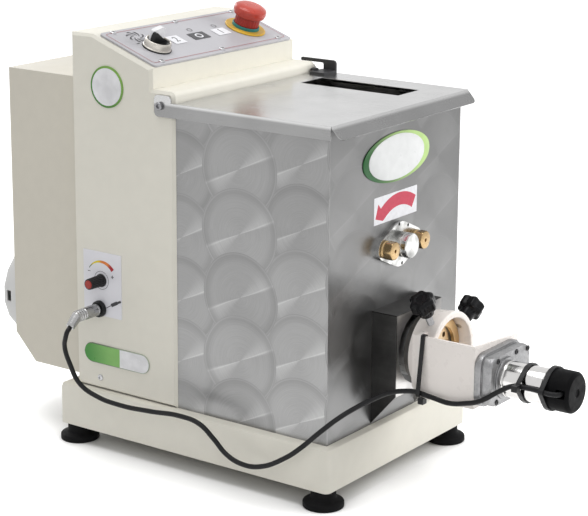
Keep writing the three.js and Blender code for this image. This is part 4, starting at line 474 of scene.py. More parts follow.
def engine_turned():
    """Stainless sheet with overlapping circular brushing. The pattern runs round the folded sheet. Each
    disc carries a painted highlight, and the front wall is painted darker as shade.
    """
    disc = 46.0
    column = 75.0
    row = 65.0
    first_row = 111.0
    row_shift = 15.0
    wander = 2.0
    wander_size = 90.0
    ring_pitch = 0.9
    ring_turn = 0.7
    disc_shift = (0.37, 0.53, 0.0)
    noise_span = (0.2, 0.8)
    roughness_span = (0.28, 0.40)
    # The painted highlight: its turn from the light, and the reach of its wedge and its line
    light_turn = math.radians(25)
    wedge_reach = math.radians(36)
    wedge_start = 3.05
    line_reach = 0.045
    line_start = 3.10
    half_turn = 3.14
    fine_share = 0.07
    disc_share = 0.14
    painted_wedge_share = 0.24
    wedge_drop = 0.06
    painted_line_share = 0.22
    rim_share = -0.17
    lip_share = 0.16
    bare_share = -0.08
    front_calm_share = 0.72
    painted_front_shade_share = 0.2
    grey = (0.285, 0.285, 0.285)
    metal = Finish("engine_turned", "stainless", grey, roughness=0.33, metallic=1.0, Anisotropic=0.6)
    x, y, z = metal.split(metal.place)
    side = metal.math("SIGN", x)
    along = metal.plus(x, metal.times(side, metal.plus(y, TANK_FRONT)))
    drift = metal.noise(wander_size, 1.0)
    along = metal.plus(along, metal.span(drift, *noise_span, -wander, wander))
    steps = metal.math("DIVIDE", along, column)
    odd = metal.plus(metal.times(metal.math("FLOOR", metal.times(steps, 0.5)), 2.0), 1.0)
    even = metal.times(metal.math("ROUND", metal.times(steps, 0.5)), 2.0)

    def topmost(index):
        """The lowest disc of a column that covers the point: its centre, and whether it does."""
        across = metal.times(index, column)
        aside = metal.minus(along, across)
        square = metal.minus(disc * disc, metal.times(aside, aside))
        reach = metal.math("SQRT", metal.math("MAXIMUM", square, 0.0))
        start = metal.plus(first_row, metal.times(index, row_shift))
        below = metal.minus(metal.minus(z, reach), start)
        centre = metal.times(metal.math("CEIL", metal.math("DIVIDE", below, row)), row)
        centre = metal.plus(centre, start)
        covered = metal.math("LESS_THAN", metal.math("ABSOLUTE", metal.minus(z, centre)), reach)
        return metal.joined(across, centre, 0.0), covered

    upper, upper_covers = topmost(odd)
    lower, lower_covers = topmost(even)
    place = metal.joined(along, z, 0.0)
    centre = metal.blend(upper_covers, lower, upper)
    covered = metal.math("MAXIMUM", upper_covers, lower_covers)
    offset = metal.vector("SUBTRACT", place, centre)
    radius = metal.vector("LENGTH", offset)
    across, up, _ = metal.split(offset)
    turn = metal.math("ARCTAN2", up, across)

    rings = metal.joined(metal.math("DIVIDE", radius, ring_pitch), metal.times(turn, ring_turn), 0.0)
    rings = metal.vector("ADD", rings, metal.vector("MULTIPLY", centre, disc_shift))
    fine = metal.noise(1.0, CLOUD_DETAIL, at=rings)
    rim = metal.span(radius, disc - 13.0, disc - 1.5)
    lip_start = metal.span(radius, disc - 2.6, disc - 1.6)
    lip_end = metal.span(radius, disc - 1.2, disc - 0.2)
    lip = metal.minus(lip_start, lip_end)
    aside = metal.math("MODULO", metal.plus(turn, 2 * math.pi - light_turn), math.pi)
    fade = metal.span(radius, 0.6 * disc, disc, 1.0, 0.4)

    def painted_glint(reach, start):
        """A painted highlight: a bright sector either side of the light's direction, fading to the rim."""
        both = metal.plus(metal.span(aside, 0.0, reach, 1, 0), metal.span(aside, start, half_turn))
        return metal.times(both, fade)

    # Painted highlights in each disc: a broad wedge and a thin line
    painted_wedge = painted_glint(wedge_reach, wedge_start)
    line = painted_glint(line_reach, line_start)
    number = metal.node("TexWhiteNoise", {"Vector": centre}, noise_dimensions="3D").outputs["Value"]
    side_wall = metal.math("GREATER_THAN", metal.math("ABSOLUTE", x), TANK_HALF_WIDTH - 1.6)
    front_wall = metal.minus(1.0, side_wall)
    clear = metal.minus(1.0, metal.times(front_wall, front_calm_share))
    changes = [
        metal.span(fine, *noise_span, -fine_share, fine_share),
        metal.times(metal.minus(number, 0.5), disc_share),
        # Painted highlight, as a wedge and a line
        metal.minus(metal.times(painted_wedge, painted_wedge_share), wedge_drop),
        metal.times(line, painted_line_share),
        metal.times(rim, rim_share),
        metal.times(lip, lip_share),
        metal.span(covered, 0.0, 1.0, bare_share, 0.0),
    ]
    for change in changes:
        metal.shade(metal.plus(1.0, metal.times(change, clear)))
    # Painted shade: the front wall is darker than the sides
    metal.shade(metal.minus(1.0, metal.times(front_wall, painted_front_shade_share)))
    metal.mottle(size=120.0, share=0.06)
    metal.roughness = metal.span(fine, *noise_span, *roughness_span)
    metal.heights.append((metal.times(fine, clear), 0.02))
    metal.heights.append((metal.times(rim, clear), 0.05))
    tangent = metal.joined(
        metal.times(across, front_wall),
        metal.times(metal.times(across, side), side_wall),
        up,
    )
    feed(metal.tree, metal.shader.inputs["Tangent"], metal.vector("NORMALIZE", tangent))
    return metal.done(edge_radius=0.6)


def painted(name, slot, color, roughness):
    """Stove paint over sheet, a little rubbed at its edges."""
    paint = Finish(name, slot, color, roughness)
    paint.mottle(size=60.0, share=0.03)
    paint.uneven(size=20.0, share=0.06)
    paint.grain(size=1.4, height=0.03)
    paint.worn(radius=1.2, share=0.4, color=tuple(min(1.0, 1.3 * c + WORN_LIFT) for c in color))
    return paint.done(edge_radius=0.5)


def printed(name, color):
    """Screen-printed ink: flat colour with a faint mottle and a slight film thickness."""
    ink = Finish(name, "labelWhite", color, roughness=0.4, Specular_IOR_Level=0.3)
    ink.mottle(size=5.0, share=0.05)
    ink.uneven(size=3.0, share=0.06)
    ink.grain(size=0.3, height=0.01)
    return ink.done()


def badge_enamel(name, dark, pale, low, high):
    """Clear-coated badge colour that runs from dark to pale between two places of the machine. On the white
    face the run is painted shade.
    """
    enamel = Finish(name, "labelWhite", dark, roughness=0.32, Coat_Weight=0.15, Specular_IOR_Level=0.25)
    way = Vector(high) - Vector(low)
    along = enamel.vector("DOT_PRODUCT", enamel.vector("SUBTRACT", enamel.place, tuple(low)), tuple(way))
    enamel.tint(enamel.span(enamel.math("DIVIDE", along, way.length_squared), 0.0, 1.0), pale)
    enamel.mottle(size=9.0, share=0.03)
    enamel.uneven(size=6.0, share=0.05)
    enamel.grain(size=4.0, height=0.01)
    return enamel.done(edge_radius=0.4)


def make_badge_enamels():
    """The badges' colours: dark, pale, and the two places between which each one runs. The white face's run
    is painted shade.
    """
    runs = {
        "oval_green": ((0.010, 0.10, 0.02), (0.50, 0.70, 0.26), (-48, -186, 314), (38, -186, 356)),
        "round_green": ((0.05, 0.20, 0.03), (0.22, 0.42, 0.08), (-122, 105, 372), (-122, 68, 408)),
        "pill_green": ((0.05, 0.27, 0.04), (0.24, 0.52, 0.14), (-122, 122, 98), (-122, 84, 108)),
        # Painted shade: the white face is darker towards its lower left
        "badge_white": ((0.56, 0.57, 0.57), (0.76, 0.77, 0.77), (-60, -186, 306), (-22, -186, 336)),
        "badge_rim": ((0.10, 0.17, 0.08), (0.42, 0.47, 0.38), (-122, 122, 90), (-122, 40, 115)),
    }
    return {name: badge_enamel(name, *run) for name, run in runs.items()}


def scale_ink():
    """The speed scale's ink: green, yellow, orange and red round the knob."""
    ink = Finish("scale_ink", "labelWhite", (0.02, 0.10, 0.03), roughness=0.4, Specular_IOR_Level=0.3)
    _, y, z = ink.split(ink.place)
    turn = ink.math("ARCTAN2", ink.minus(z, SPEED[1]), ink.minus(SPEED[0], y))
    half_band = 9
    bands = {130.0: (0.75, 0.62, 0.02), 95.0: (0.75, 0.22, 0.04), 58.0: (0.42, 0.02, 0.03)}
    for middle, color in bands.items():
        start = math.radians(middle + half_band)
        end = math.radians(middle - half_band)
        ink.tint(ink.span(turn, start, end), color)
    ink.mottle(size=4.0, share=0.06)
    ink.uneven(size=3.0, share=0.06)
    ink.grain(size=0.3, height=0.01)
    return ink.done()


def chrome_painted_reflections():
    """Chrome with cloudy dark patches, which are painted reflections."""
    metal = Finish("chrome_painted_reflections", "polished", (0.50, 0.50, 0.49), roughness=0.2, metallic=1.0)
    # Painted reflections: large dark clouds in the colour
    metal.mottle(size=12.0, share=0.5, rough=0.3)
    metal.mottle(size=60.0, share=0.1)
    metal.uneven(size=5.0, share=0.08)
    metal.grain(size=0.6, height=0.004, stretch=(4, 1, 1))
    return metal.done(edge_radius=0.4)


def lid_steel():
    """Bright stainless lid, brushed front to back. Its turned-down sides and lip are painted darker, as
    painted shade.
    """
    grey = (0.54, 0.54, 0.54)
    metal = Finish("lid_stainless", "stainless", grey, roughness=0.22, metallic=1.0, Anisotropic=0.4)
    _, _, z = metal.split(metal.place)
    metal.mottle(size=70.0, share=0.06)
    metal.brushed(0.5, 0.06, LENGTH_BRUSHING)
    metal.uneven(size=45.0, share=0.05)
    # Painted shade: all of the lid below its top is darker
    metal.shade(metal.span(z, LID_TOP - 4.0, LID_TOP - 1.0, 0.5, 1.0))
    return metal.done(edge_radius=0.5)


def guard_steel():
    """Satin stainless hood. Its left wall, the right of its front and its top are painted darker, as
    painted dark reflections.
    """
    grey = (0.50, 0.49, 0.48)
    metal = Finish("guard_stainless", "stainless", grey, roughness=0.36, metallic=1.0, Anisotropic=0.4)
    x, _, z = metal.split(metal.place)
    metal.brushed(STREAK, 0.08, LEVEL_BRUSHING)
    metal.mottle(size=34.0, share=0.30)
    # Painted dark reflections: the left wall, then the front's right side, then the top
    metal.shade(metal.span(x, -GUARD_HALF_WIDTH + 0.6, -GUARD_HALF_WIDTH + 1.4, 0.12, 1.0))
    metal.shade(metal.span(x, -10.0, 20.0, 1.0, 0.6))
    metal.shade(metal.span(z, GUARD_TOP - 1.0, GUARD_TOP - 0.4, 1.0, 0.25))
    return metal.done(edge_radius=0.5)


def ring_bronze():
    """Bronze ring nut whose back end has gone dark."""
    metal = Finish("ring_bronze", "bronze", (0.66, 0.46, 0.24), roughness=0.34, metallic=1.0)
    _, y, _ = metal.split(metal.place)
    metal.mottle(size=12.0, share=0.08)
    metal.uneven(size=6.0, share=0.06)
    metal.grain(size=0.5, height=0.012)
    metal.tint(metal.span(y, RING_NUT_FRONT + 3.0, RING_NUT_FRONT + 4.0), (0.10, 0.095, 0.09))
    return metal.done(edge_radius=0.4)


def make_finishes():
    """Every material by its short name."""
    # Each row: name, slot, colour, roughness, and for some a plastic's spark or a polish's relief
    return {
        "cream": cream_paint("cream_paint", (0.80, 0.775, 0.69)),
        # Painted shade: a darker copy of the cream paint, for the rear cover
        "cream_painted_shade": cream_paint("rear_cover_painted_shade", (0.67, 0.635, 0.55)),
        "white": white_enamel(),
        "turned": engine_turned(),
        "cast": cast_metal(),
        "rubber": moulded("rubber", "rubber", (0.011, 0.011, 0.0115), 0.62, 0.06),
        "cable": moulded("cable_sheath", "rubber", (0.012, 0.012, 0.013), 0.45, 0.2),
        "black": moulded("black_plastic", "blackPlastic", (0.014, 0.014, 0.015), 0.36, 0.25),
        "bakelite": moulded("bakelite", "blackPlastic", (0.007, 0.007, 0.008), 0.24, 0.14),
        "cap": moulded("motor_cap_plastic", "blackPlastic", (0.006, 0.006, 0.0065), 0.5, 0.05),
        "white_gloss": moulded("white_gloss_plastic", "labelWhite", (0.80, 0.80, 0.82), 0.2, 0.5),
        "teal": moulded("teal_plastic", "blackPlastic", (0.03, 0.22, 0.22), 0.4),
        "yellow": moulded("yellow_plastic", "yellow", (0.66, 0.40, 0.04), 0.4),
        "red": moulded("red_plastic", "red", (0.36, 0.03, 0.02), 0.35),
        "red_gloss": moulded("red_gloss_plastic", "red", (0.50, 0.05, 0.03), 0.22, 0.5),
        "black_paint": painted("black_paint", "blackPaint", (0.018, 0.018, 0.02), 0.4),
        "motor_grey": painted("motor_grey", "motorGrey", (0.70, 0.70, 0.695), 0.45),
        "console_grey": painted("console_grey", "consoleGrey", (0.47, 0.465, 0.49), 0.36),
        "label": painted("label_white", "labelWhite", (0.79, 0.785, 0.83), 0.35),
        "bolt": polished("bolt_steel", "steel", (0.26, 0.26, 0.27), 0.3),
        "steel": sheet_metal("machined_steel", "steel", (0.50, 0.50, 0.51), 0.32),
        "stainless": sheet_metal("satin_stainless", "stainless", (0.52, 0.51, 0.50), 0.26),
        "lid": lid_steel(),
        "barrel": sheet_metal("barrel_steel", "zinc", (0.45, 0.45, 0.45), 0.35),
        "chrome": polished("chrome", "polished", (0.68, 0.67, 0.66), 0.12),
        "bearing": chrome_painted_reflections(),
        "plug": polished("plug_metal", "polished", (0.40, 0.40, 0.40), 0.26),
        "nickel": polished("nickel", "nickel", (0.60, 0.57, 0.52), 0.30),
        "brass": polished("brass", "brass", (0.50, 0.35, 0.18), 0.28),
        "bronze": polished("bronze", "bronze", (0.80, 0.64, 0.44), 0.4, 0.01),
        "ring": ring_bronze(),
        "guard": guard_steel(),
        "ink": printed("dark_ink", (0.06, 0.06, 0.065)),
        "red_ink": printed("red_ink", (0.55, 0.05, 0.09)),
        "line_ink": printed("line_ink", (0.42, 0.14, 0.15)),
        "white_ink": printed("white_ink", (0.80, 0.80, 0.83)),
        "scale": scale_ink(),
        **make_badge_enamels(),
    }


# Shapes


def rounded(points, closed=True, steps=5):
    """A 2D outline. A corner with a third value is rounded by that radius."""
    result = []
    last = len(points) - 1
    for i, point in enumerate(points):
        here = Vector(point[:2])
        radius = point[2] if len(point) > 2 else 0
        if not radius or (not closed and i in (0, last)):
            result.append(here)
            continue
        before = (Vector(points[i - 1][:2]) - here).normalized()
        after = (Vector(points[(i + 1) % len(points)][:2]) - here).normalized()
        half = before.angle(after) / 2
        centre = here + (before + after).normalized() * (radius / math.sin(half))
        start = here + before * (radius / math.tan(half)) - centre
        end = here + after * (radius / math.tan(half)) - centre
        sweep = start.angle(end)
        for k in range(steps + 1):
            part = k / steps
            turned = start * math.sin((1 - part) * sweep) + end * math.sin(part * sweep)
            result.append(centre + turned / math.sin(sweep))
    return result


def round_turns(steps):
    """Equal turns once round."""
    return [2 * math.pi * i / steps for i in range(steps)]


def rectangle(width, height, radius=0.0, centre=(0.0, 0.0)):
    x, y = centre
    corners = [(-1, -1), (1, -1), (1, 1), (-1, 1)]
    return rounded([(x + a * width / 2, y + b * height / 2, radius) for a, b in corners])


def ellipse(half_width, half_height, centre=(0.0, 0.0), steps=72):
    x, y = centre
    turns = round_turns(steps)
    return [Vector((x + half_width * math.cos(t), y + half_height * math.sin(t))) for t in turns]


def strap(circles, thick):
    """The outline of a band drawn tight round circles of x, y and radius, at a distance."""
    points = [p for x, y, r in circles for p in ellipse(r + thick, r + thick, (x, y), 48)]
    return [points[i] for i in convex_hull_2d(points)]


def arc_band(inner, outer, start, end, steps=24, centre=(0.0, 0.0)):
    """The outline of part of a ring, between two angles in degrees.

    Each radius may be a pair: where it starts and where it ends.
    """
    inner = inner if isinstance(inner, tuple) else (inner, inner)
    outer = outer if isinstance(outer, tuple) else (outer, outer)

    def edge(radii, parts):
        points = []
        for part in parts:
            turn = math.radians(start + (end - start) * part)
            radius = radii[0] + (radii[1] - radii[0]) * part
            across = centre[0] + radius * math.cos(turn)
            points.append(Vector((across, centre[1] + radius * math.sin(turn))))
        return points

    parts = [k / steps for k in range(steps + 1)]
    return edge(outer, parts) + edge(inner, reversed(parts))


def lathe(profile, steps=64, shaper=None, ring=False):
    """A solid of revolution about Z from points of radius and height.

    A shaper changes a radius by its height and angle. A ring has no ends on the axis.
    """
    shape = bmesh.new()
    rings = []
    for radius, height in profile:
        if radius < TINY:
            rings.append([shape.verts.new((0, 0, height))])
            continue
        turns = round_turns(steps)
        radii = [shaper(radius, height, t) if shaper else radius for t in turns]
        places = [(r * math.cos(t), r * math.sin(t), height) for r, t in zip(radii, turns)]
        rings.append([shape.verts.new(place) for place in places])
    if ring:
        rings.append(rings[0])
    for low, high in zip(rings, rings[1:]):
        for i in range(steps):
            j = (i + 1) % steps
            corners = [low[i % len(low)], low[j % len(low)], high[j % len(high)], high[i % len(high)]]
            corners = [c for k, c in enumerate(corners) if c not in corners[:k]]
            if len(corners) > 2:
                shape.faces.new(corners)
    return shape


def prism(outlines, low, high, edge=0.0, segments=3):
    """Outlines drawn out along Z. The first is the outer one and the rest are holes."""
    if not isinstance(outlines[0], list):
        outlines = [outlines]
    shape = bmesh.new()
    levels = []
    for height in (low, high):
        loops = []
        for outline in outlines:
            ring = [shape.verts.new((p[0], p[1], height)) for p in outline]
            loops.append(ring)
        levels.append(loops)
    for lower, upper in zip(*levels):
        for i in range(len(lower)):
            j = (i + 1) % len(lower)
            shape.faces.new((lower[i], lower[j], upper[j], upper[i]))
    caps = []
    for loops in levels:
        if len(loops) == 1:
            caps.append(shape.faces.new(loops[0]))
            continue
        pairs = [pair for ring in loops for pair in zip(ring, ring[1:] + ring[:1])]
        rims = [shape.edges.get(pair) for pair in pairs]
        bmesh.ops.triangle_fill(shape, edges=rims, use_beauty=True)
    if edge:
        rims = [e for cap in caps for e in cap.edges]
        rounds = {"offset": edge, "segments": segments, "profile": 0.5, "affect": "EDGES"}
        bmesh.ops.bevel(shape, geom=rims, **rounds)
    return shape


def tube(points, radii, steps=16):
    """A round bar along a path, closed at both ends. Radii go with the points."""
    shape = bmesh.new()
    path = [Vector(p) for p in points]
    side = None
    rings = []
    for i, (point, radius) in enumerate(zip(path, radii)):
        way = (path[min(i + 1, len(path) - 1)] - path[max(i - 1, 0)]).normalized()
        side = (way.orthogonal() if side is None else side - way * side.dot(way)).normalized()
        other = way.cross(side)
        spokes = [side * math.cos(t) + other * math.sin(t) for t in round_turns(steps)]
        rings.append([shape.verts.new(point + spoke * radius) for spoke in spokes])
    for low, high in zip(rings, rings[1:]):
        for k in range(steps):
            shape.faces.new((low[k], low[(k + 1) % steps], high[(k + 1) % steps], high[k]))
    shape.faces.new(rings[0])
    shape.faces.new(rings[-1])
    return shape


def merged(*shapes):
    """Several shapes as one, each closed in itself."""
    whole = bmesh.new()
    for shape in shapes:
        part = bpy.data.meshes.new("part")
        shape.to_mesh(part)
        shape.free()
        whole.from_mesh(part)
        bpy.data.meshes.remove(part)
    return whole


def upright(shape):
    """Turns an outline's plane from flat to standing along X."""
    bmesh.ops.rotate(shape, verts=shape.verts, matrix=Matrix.Rotation(math.radians(90), 3, "X"))
    return shape


def shifted(shape, x=0.0, y=0.0, z=0.0):
    bmesh.ops.translate(shape, verts=shape.verts, vec=(x, y, z))
    return shape


def lettering(words, size):
    """Plain figures as flat shapes, centred."""
    text = bpy.data.curves.new("figure", "FONT")
    text.body = words
    text.size = size
    text.align_x = "CENTER"
    text.align_y = "CENTER"
    text.extrude = PRINT / 2
    holder = bpy.data.objects.new("figure", text)
    scene.collection.objects.link(holder)
    bpy.context.view_layer.update()
    shape = bmesh.new()
    shape.from_mesh(holder.evaluated_get(bpy.context.evaluated_depsgraph_get()).to_mesh())
    bpy.data.objects.remove(holder)
    return shape


def add_solid(name, shape, place):
    """An object with smooth rounds and crisp edges, from a shape in a place's own axes."""
    bmesh.ops.transform(shape, matrix=ROW @ place, verts=shape.verts)
    bmesh.ops.remove_doubles(shape, verts=shape.verts, dist=TINY)
    bmesh.ops.recalc_face_normals(shape, faces=shape.faces)
    mesh = bpy.data.meshes.new(name)
    shape.to_mesh(mesh)
    shape.free()
    mesh.shade_smooth()
    mesh.set_sharp_from_angle(angle=CRISP_ANGLE)
    solid = bpy.data.objects.new(name, mesh)
    scene.collection.objects.link(solid)
    return solid


def add_piece(name, shape, place, finish, replaced=(), body="machine"):
    """A piece of the object, in a finish given by name."""
    piece = add_solid(name, shape, place)
    piece.data.materials.append(LOOK[finish].material)
    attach(piece, body)
    if replaced:
        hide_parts(*replaced)
    return piece


def add_turned(name, profile, place, finish, replaced=(), body="machine", **turning):
    """A piece turned from a profile. Turning goes on to lathe."""
    return add_piece(name, lathe(profile, **turning), place, finish, replaced, body)


def carve(piece, shape, place):
    """Cuts a shape out of a piece."""
    cutter = add_solid("cutter", shape, place)
    knife = piece.modifiers.new("cut", "BOOLEAN")
    knife.object = cutter
    knife.solver = "EXACT"
    bpy.context.view_layer.update()
    whole = bpy.data.meshes.new_from_object(piece.evaluated_get(bpy.context.evaluated_depsgraph_get()))
    piece.modifiers.clear()
    piece.data = whole
    bpy.data.objects.remove(cutter)
    whole.shade_smooth()
    whole.set_sharp_from_angle(angle=CRISP_ANGLE)


def hexagon(apothem):
    """A shaper that keeps a turned form inside a hexagon."""

    def shaper(radius, height, turn):
        aside = (turn % (math.pi / 3)) - math.pi / 6
        return min(radius, apothem / math.cos(aside))

    return shaper


def lobes(count, depth_share, sharpness=1):
    """A shaper that draws a turned form in between its lobes."""

    def shaper(radius, height, turn):
        wave = (1 - math.cos(count * turn)) / 2
        return radius * (1 - depth_share * wave ** sharpness)

    return shaper


def fluted(count, depth):
    """A shaper that cuts flutes into a turned form, to twice the given depth."""

    def shaper(radius, height, turn):
        return radius - depth * (1 + math.cos(count * turn))

    return shaper


def within(shaper, over=0.0, under=math.inf, above=-math.inf, below=math.inf):
    """A shaper that works only on radii from over to under, at heights from above to below."""

    def limited(radius, height, turn):
        inside = over < radius < under and above < height < below
        return shaper(radius, height, turn) if inside else radius

    return limited


def screw(radius, height, socket=0.0):
    """A domed screw head, with a hexagon socket if one is asked for."""
    wall_share = 0.25
    dome = [(radius, 0.0), (radius, wall_share * height)]
    for k in range(1, 7):
        turn = math.radians(15 * k)
        rise = (wall_share + (1 - wall_share) * math.sin(turn)) * height
        dome.append((radius * math.cos(turn), rise))
    if not socket:
        return lathe([(0, 0)] + dome[:-1] + [(0, height)], steps=32)
    kept = [p for p in dome if p[0] > 1.25 * socket]
    well = [(1.15 * socket, kept[-1][1]), (1.15 * socket, 0.35 * height), (0, 0.3 * height)]
    return lathe([(0, 0)] + kept + well, steps=36, shaper=within(hexagon(socket), under=1.2 * socket))


# Pieces


def add_feet():
    """Rubber feet on studs, with a washer each."""
    pad, neck, stud = 20.7, 12.8, 4
    pad_top, neck_top, stud_top = 6, 19, 28
    profile = [(0, 0), (pad, 0, 1.2), (pad, pad_top, 2.0), (neck, pad_top + 3, 3.0), (neck, neck_top, 0.8)]
    profile += [(stud, neck_top), (stud, stud_top), (0, stud_top)]
    for node, (x, y) in FOOT_PLACES.items():
        place = Matrix.Translation((x, y, 0))
        add_turned(node + "_rubber", rounded(profile, False), place, "rubber", [node], steps=56)
        washer = lathe([(0, 29.5), (4.4, 29.5), (8, 29.5), (8, 31.0), (4.4, 31.4), (0, 31.4)], steps=32)
        add_piece(node + "_washer", washer, place, "steel")


def add_plug():
    """Metal plug with a knurled sleeve, three rings and a tapered elbow."""
    nut_height = 4.5
    seat = -(SIDE_FACE + 2 * GAP + nut_height)
    sleeve, groove, boot = 6.4, 6.05, 5.76
    knee_high = 31.2
    barrel_profile = [(0, 0), (5.6, 0), (sleeve, 0.7), (sleeve, 3), (groove, 3.4), (groove, 4.4)]
    barrel_profile += [(sleeve, 4.8), (sleeve, 20.2), (5.9, 21)]
    rings = []
    ring_count, ring_pitch = 3, 3.4
    for i in range(ring_count):
        base = 21 + ring_pitch * i
        rings += [(5.4, base + 0.5), (5.4, base + 1.2), (6.25, base + 1.9), (6.25, base + 3.0)]
    profile = barrel_profile + rings + [(5.7, 31.4), (5.4, 32.2), (0, 32.2)]
    knurl = within(fluted(count=28, depth=0.16), over=6.2, above=4.8, below=20.5)
    place = left(*SOCKET, seat)
    barrel = lathe(profile, steps=112, shaper=knurl)
    pin = lathe([(0, -11), (2.5, -11), (2.5, 0.5), (0, 0.5)], steps=24)
    bend = math.radians(40)
    knee = Vector((0, 0, knee_high))
    way = Vector((0, -math.sin(bend), math.cos(bend)))
    path = [knee + way * reach for reach in (-1.0, 3.0, 6.0, 9.0, 12.0, 13.2, 14.0)]
    elbow = tube(path, [boot, 5.5, 5.25, 5.0, 4.75, 4.6, 4.1], steps=40)
    rises = [math.pi * (k / 12 - 0.5) for k in range(13)]
    ball = lathe([(boot * math.cos(a), knee_high + boot * math.sin(a)) for a in rises], steps=40)
    shapes = {"plug_sleeve": merged(barrel, pin), "plug_elbow": merged(elbow, ball)}
    return [add_piece(name, shape, place, "plug", ["cable_plug"]) for name, shape in shapes.items()]


def add_cable(plug):
    """The cutter motor's cable: one curve from the plug to the motor's cap."""
    data = bpy.data.curves.new("cutter_cable_run", "CURVE")
    data.dimensions = "3D"
    data.bevel_depth = CABLE_DIAMETER / 2 * MM
    data.bevel_resolution = 6
    data.resolution_u = 12
    data.use_fill_caps = True
    spline = data.splines.new("BEZIER")
    spline.bezier_points.add(len(CABLE_ROUTE) - 1)
    for knot, point in zip(spline.bezier_points, CABLE_ROUTE):
        knot.co = ROW @ Vector(point)
        knot.handle_left_type = "AUTO"
        knot.handle_right_type = "AUTO"
    cable = bpy.data.objects.new("cutter_cable_run", data)
    data.materials.append(LOOK["cable"].material)
    scene.collection.objects.link(cable)
    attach(cable, "machine")
    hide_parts("cutter_cable")


def add_speed_control():
    """Black fluted knob with a red cap, and the cable's socket nut."""
    seat = -(SIDE_FACE + GAP)
    place = left(*SPEED, seat)
    grip = within(lobes(count=18, depth_share=0.10, sharpness=2), above=2.6, below=19.4)
    skirt = [(0, 0), (7.0, 0), (7.0, 1.3), (6.7, 1.8), (5.9, 2.0)]
    body = [(6.3, 2.7), (6.25, 6), (6.05, 12), (5.9, 17), (5.85, 19.3), (5.6, 19.9), (4.6, 20.1)]
    profile = skirt + body + [(4.5, 19.6), (0, 19.6)]
    add_turned("speed_knob_body", profile, place, "black", ["speed_knob"], "speed", steps=108, shaper=grip)
    cap = [(0, 19.5), (4.4, 19.5), (4.4, 20.5), (3.9, 21.0), (0, 21.0)]
    add_turned("speed_knob_cap", cap, place, "red", body="speed", steps=40)
    nut_place = left(*SOCKET, seat)
    bore, body_radius, rim, depth = 4.0, 6.0, 8.8, 22
    nut = [(bore, -depth), (body_radius, -depth), (body_radius, 0), (rim, 0), (rim, 3.4)]
    nut += [(8.2, 4.5), (6.6, 4.5), (6.3, 3.9), (bore, 3.9)]
    coin_edge = within(fluted(count=40, depth=0.12), over=8.5, above=0.2)
    nut_shape = lathe(nut, steps=120, shaper=coin_edge, ring=True)
    add_piece("socket_nut", nut_shape, nut_place, "black", ["cable_socket"])


def add_selector():
    """Rotary switch: nickel bezel on a black lip, dished knob with a fin."""
    across, up = SELECTOR
    place = console(across, up)
    top = PANEL_TOP
    neck = [(9.3, -7.0), (10.7, -7.0), (10.7, top)]
    outside = [(15, top, 0.2), (15, top + 1.6, 0.6), (14.4, top + 2.2)]
    outside += [(13.9, top + 6.5, 2), (13.3, top + 8.8, 0.8)]
    inside = [(12.3, top + 9.0, 0.6), (11.6, top + 7.6), (11.6, top + 4.5), (9.3, top + 4.5)]
    profile = rounded(neck + outside + inside, True, 4)
    add_turned("selector_ring", profile, place, "nickel", ["selector_bezel"], steps=96, ring=True)
    lip = [(15.1, top), (15.6, top), (15.6, top + 0.9), (15.1, top + 1.1)]
    add_turned("selector_seal", lip, place, "black", steps=72, ring=True)
    seat = top + 4.8
    dish = [(0, -12), (9, -12), (9, seat), (11.2, seat), (11.2, top + 7.3)]
    dish += [(10.4, top + 7.6), (8, top + 6.2), (0, top + 5.4)]
    knob = lathe(dish, steps=72)
    fin = prism(rounded([
        (-11.0, seat, 0),
        (11.0, seat, 0),
        (11.0, seat + 3.0, 1.5),
        (3.0, seat + 6.5, 8.0),
        (-8.5, seat + 14.0, 1.5),
        (-11.0, seat + 9.0, 3.0),
    ]), low=-2.5, high=2.5, edge=0.7)
    add_piece("selector_body", merged(knob, upright(fin)), place, "black", ["selector_knob"], "selector")
    half = prism(rounded([
        (-8.0, seat, 0),
        (11.2, seat, 0),
        (12.0, seat + 13.0, 4.5),
        (6.0, seat + 16.5, 5.0),
        (-8.0, seat + 13.5, 2.0),
    ]), low=-7.5, high=-2.4, edge=0.8)
    add_piece("selector_half", upright(half), place, "white_gloss", body="selector")


def add_stop():
    """Emergency stop: yellow ring, teal collar, red stem and mushroom head."""
    across, up = STOP
    place = console(across, up)
    top = PANEL_TOP
    stem_low = top + 4.6
    ring = [(15.2, top), (22.5, top), (22.5, top + 0.8), (21.6, top + 1.5), (15.2, top + 1.5)]
    add_turned("stop_ring", ring, place, "yellow", ["stop_legend_ring"], steps=96, ring=True)
    collar = [(14.0, top + 0.3), (14.0, stem_low), (14.6, stem_low), (15, top + 4.1)]
    collar += [(15, top), (10.7, top), (10.7, -7.0), (7.3, -7.0), (7.3, top + 0.3)]
    add_turned("stop_collar_ring", collar, place, "teal", ["stop_collar"], steps=72, ring=True)
    stem_high = top + 16.3
    stem = [(0, -7.3), (7, -7.3), (7, stem_low), (13.6, stem_low), (13.6, stem_high), (7, stem_high)]
    stem += [(7, stem_high + 4.5), (0, stem_high + 4.5)]
    ribbed = within(fluted(count=24, depth=0.25), over=13)
    add_turned("stop_stem", stem, place, "red", ["stop_plunger"], "stop_plunger", steps=120, shaper=ribbed)
    low = stem_high + GAP
    head = [(7.3, low + 4.8), (7.3, low), (14.0, low), (14.0, low - 1.8)]
    head += [(16.9, low - 1.4, 1.2), (18, low + 2.4, 2.5), (17.5, low + 7.2, 3.0)]
    head += [(12, low + 10.2, 12.0), (0, low + 10.95)]
    profile = [(0, low + 4.8)] + rounded(head, False, 6)
    add_turned("stop_mushroom", profile, place, "red_gloss", ["stop_head"], "stop_head", steps=96)


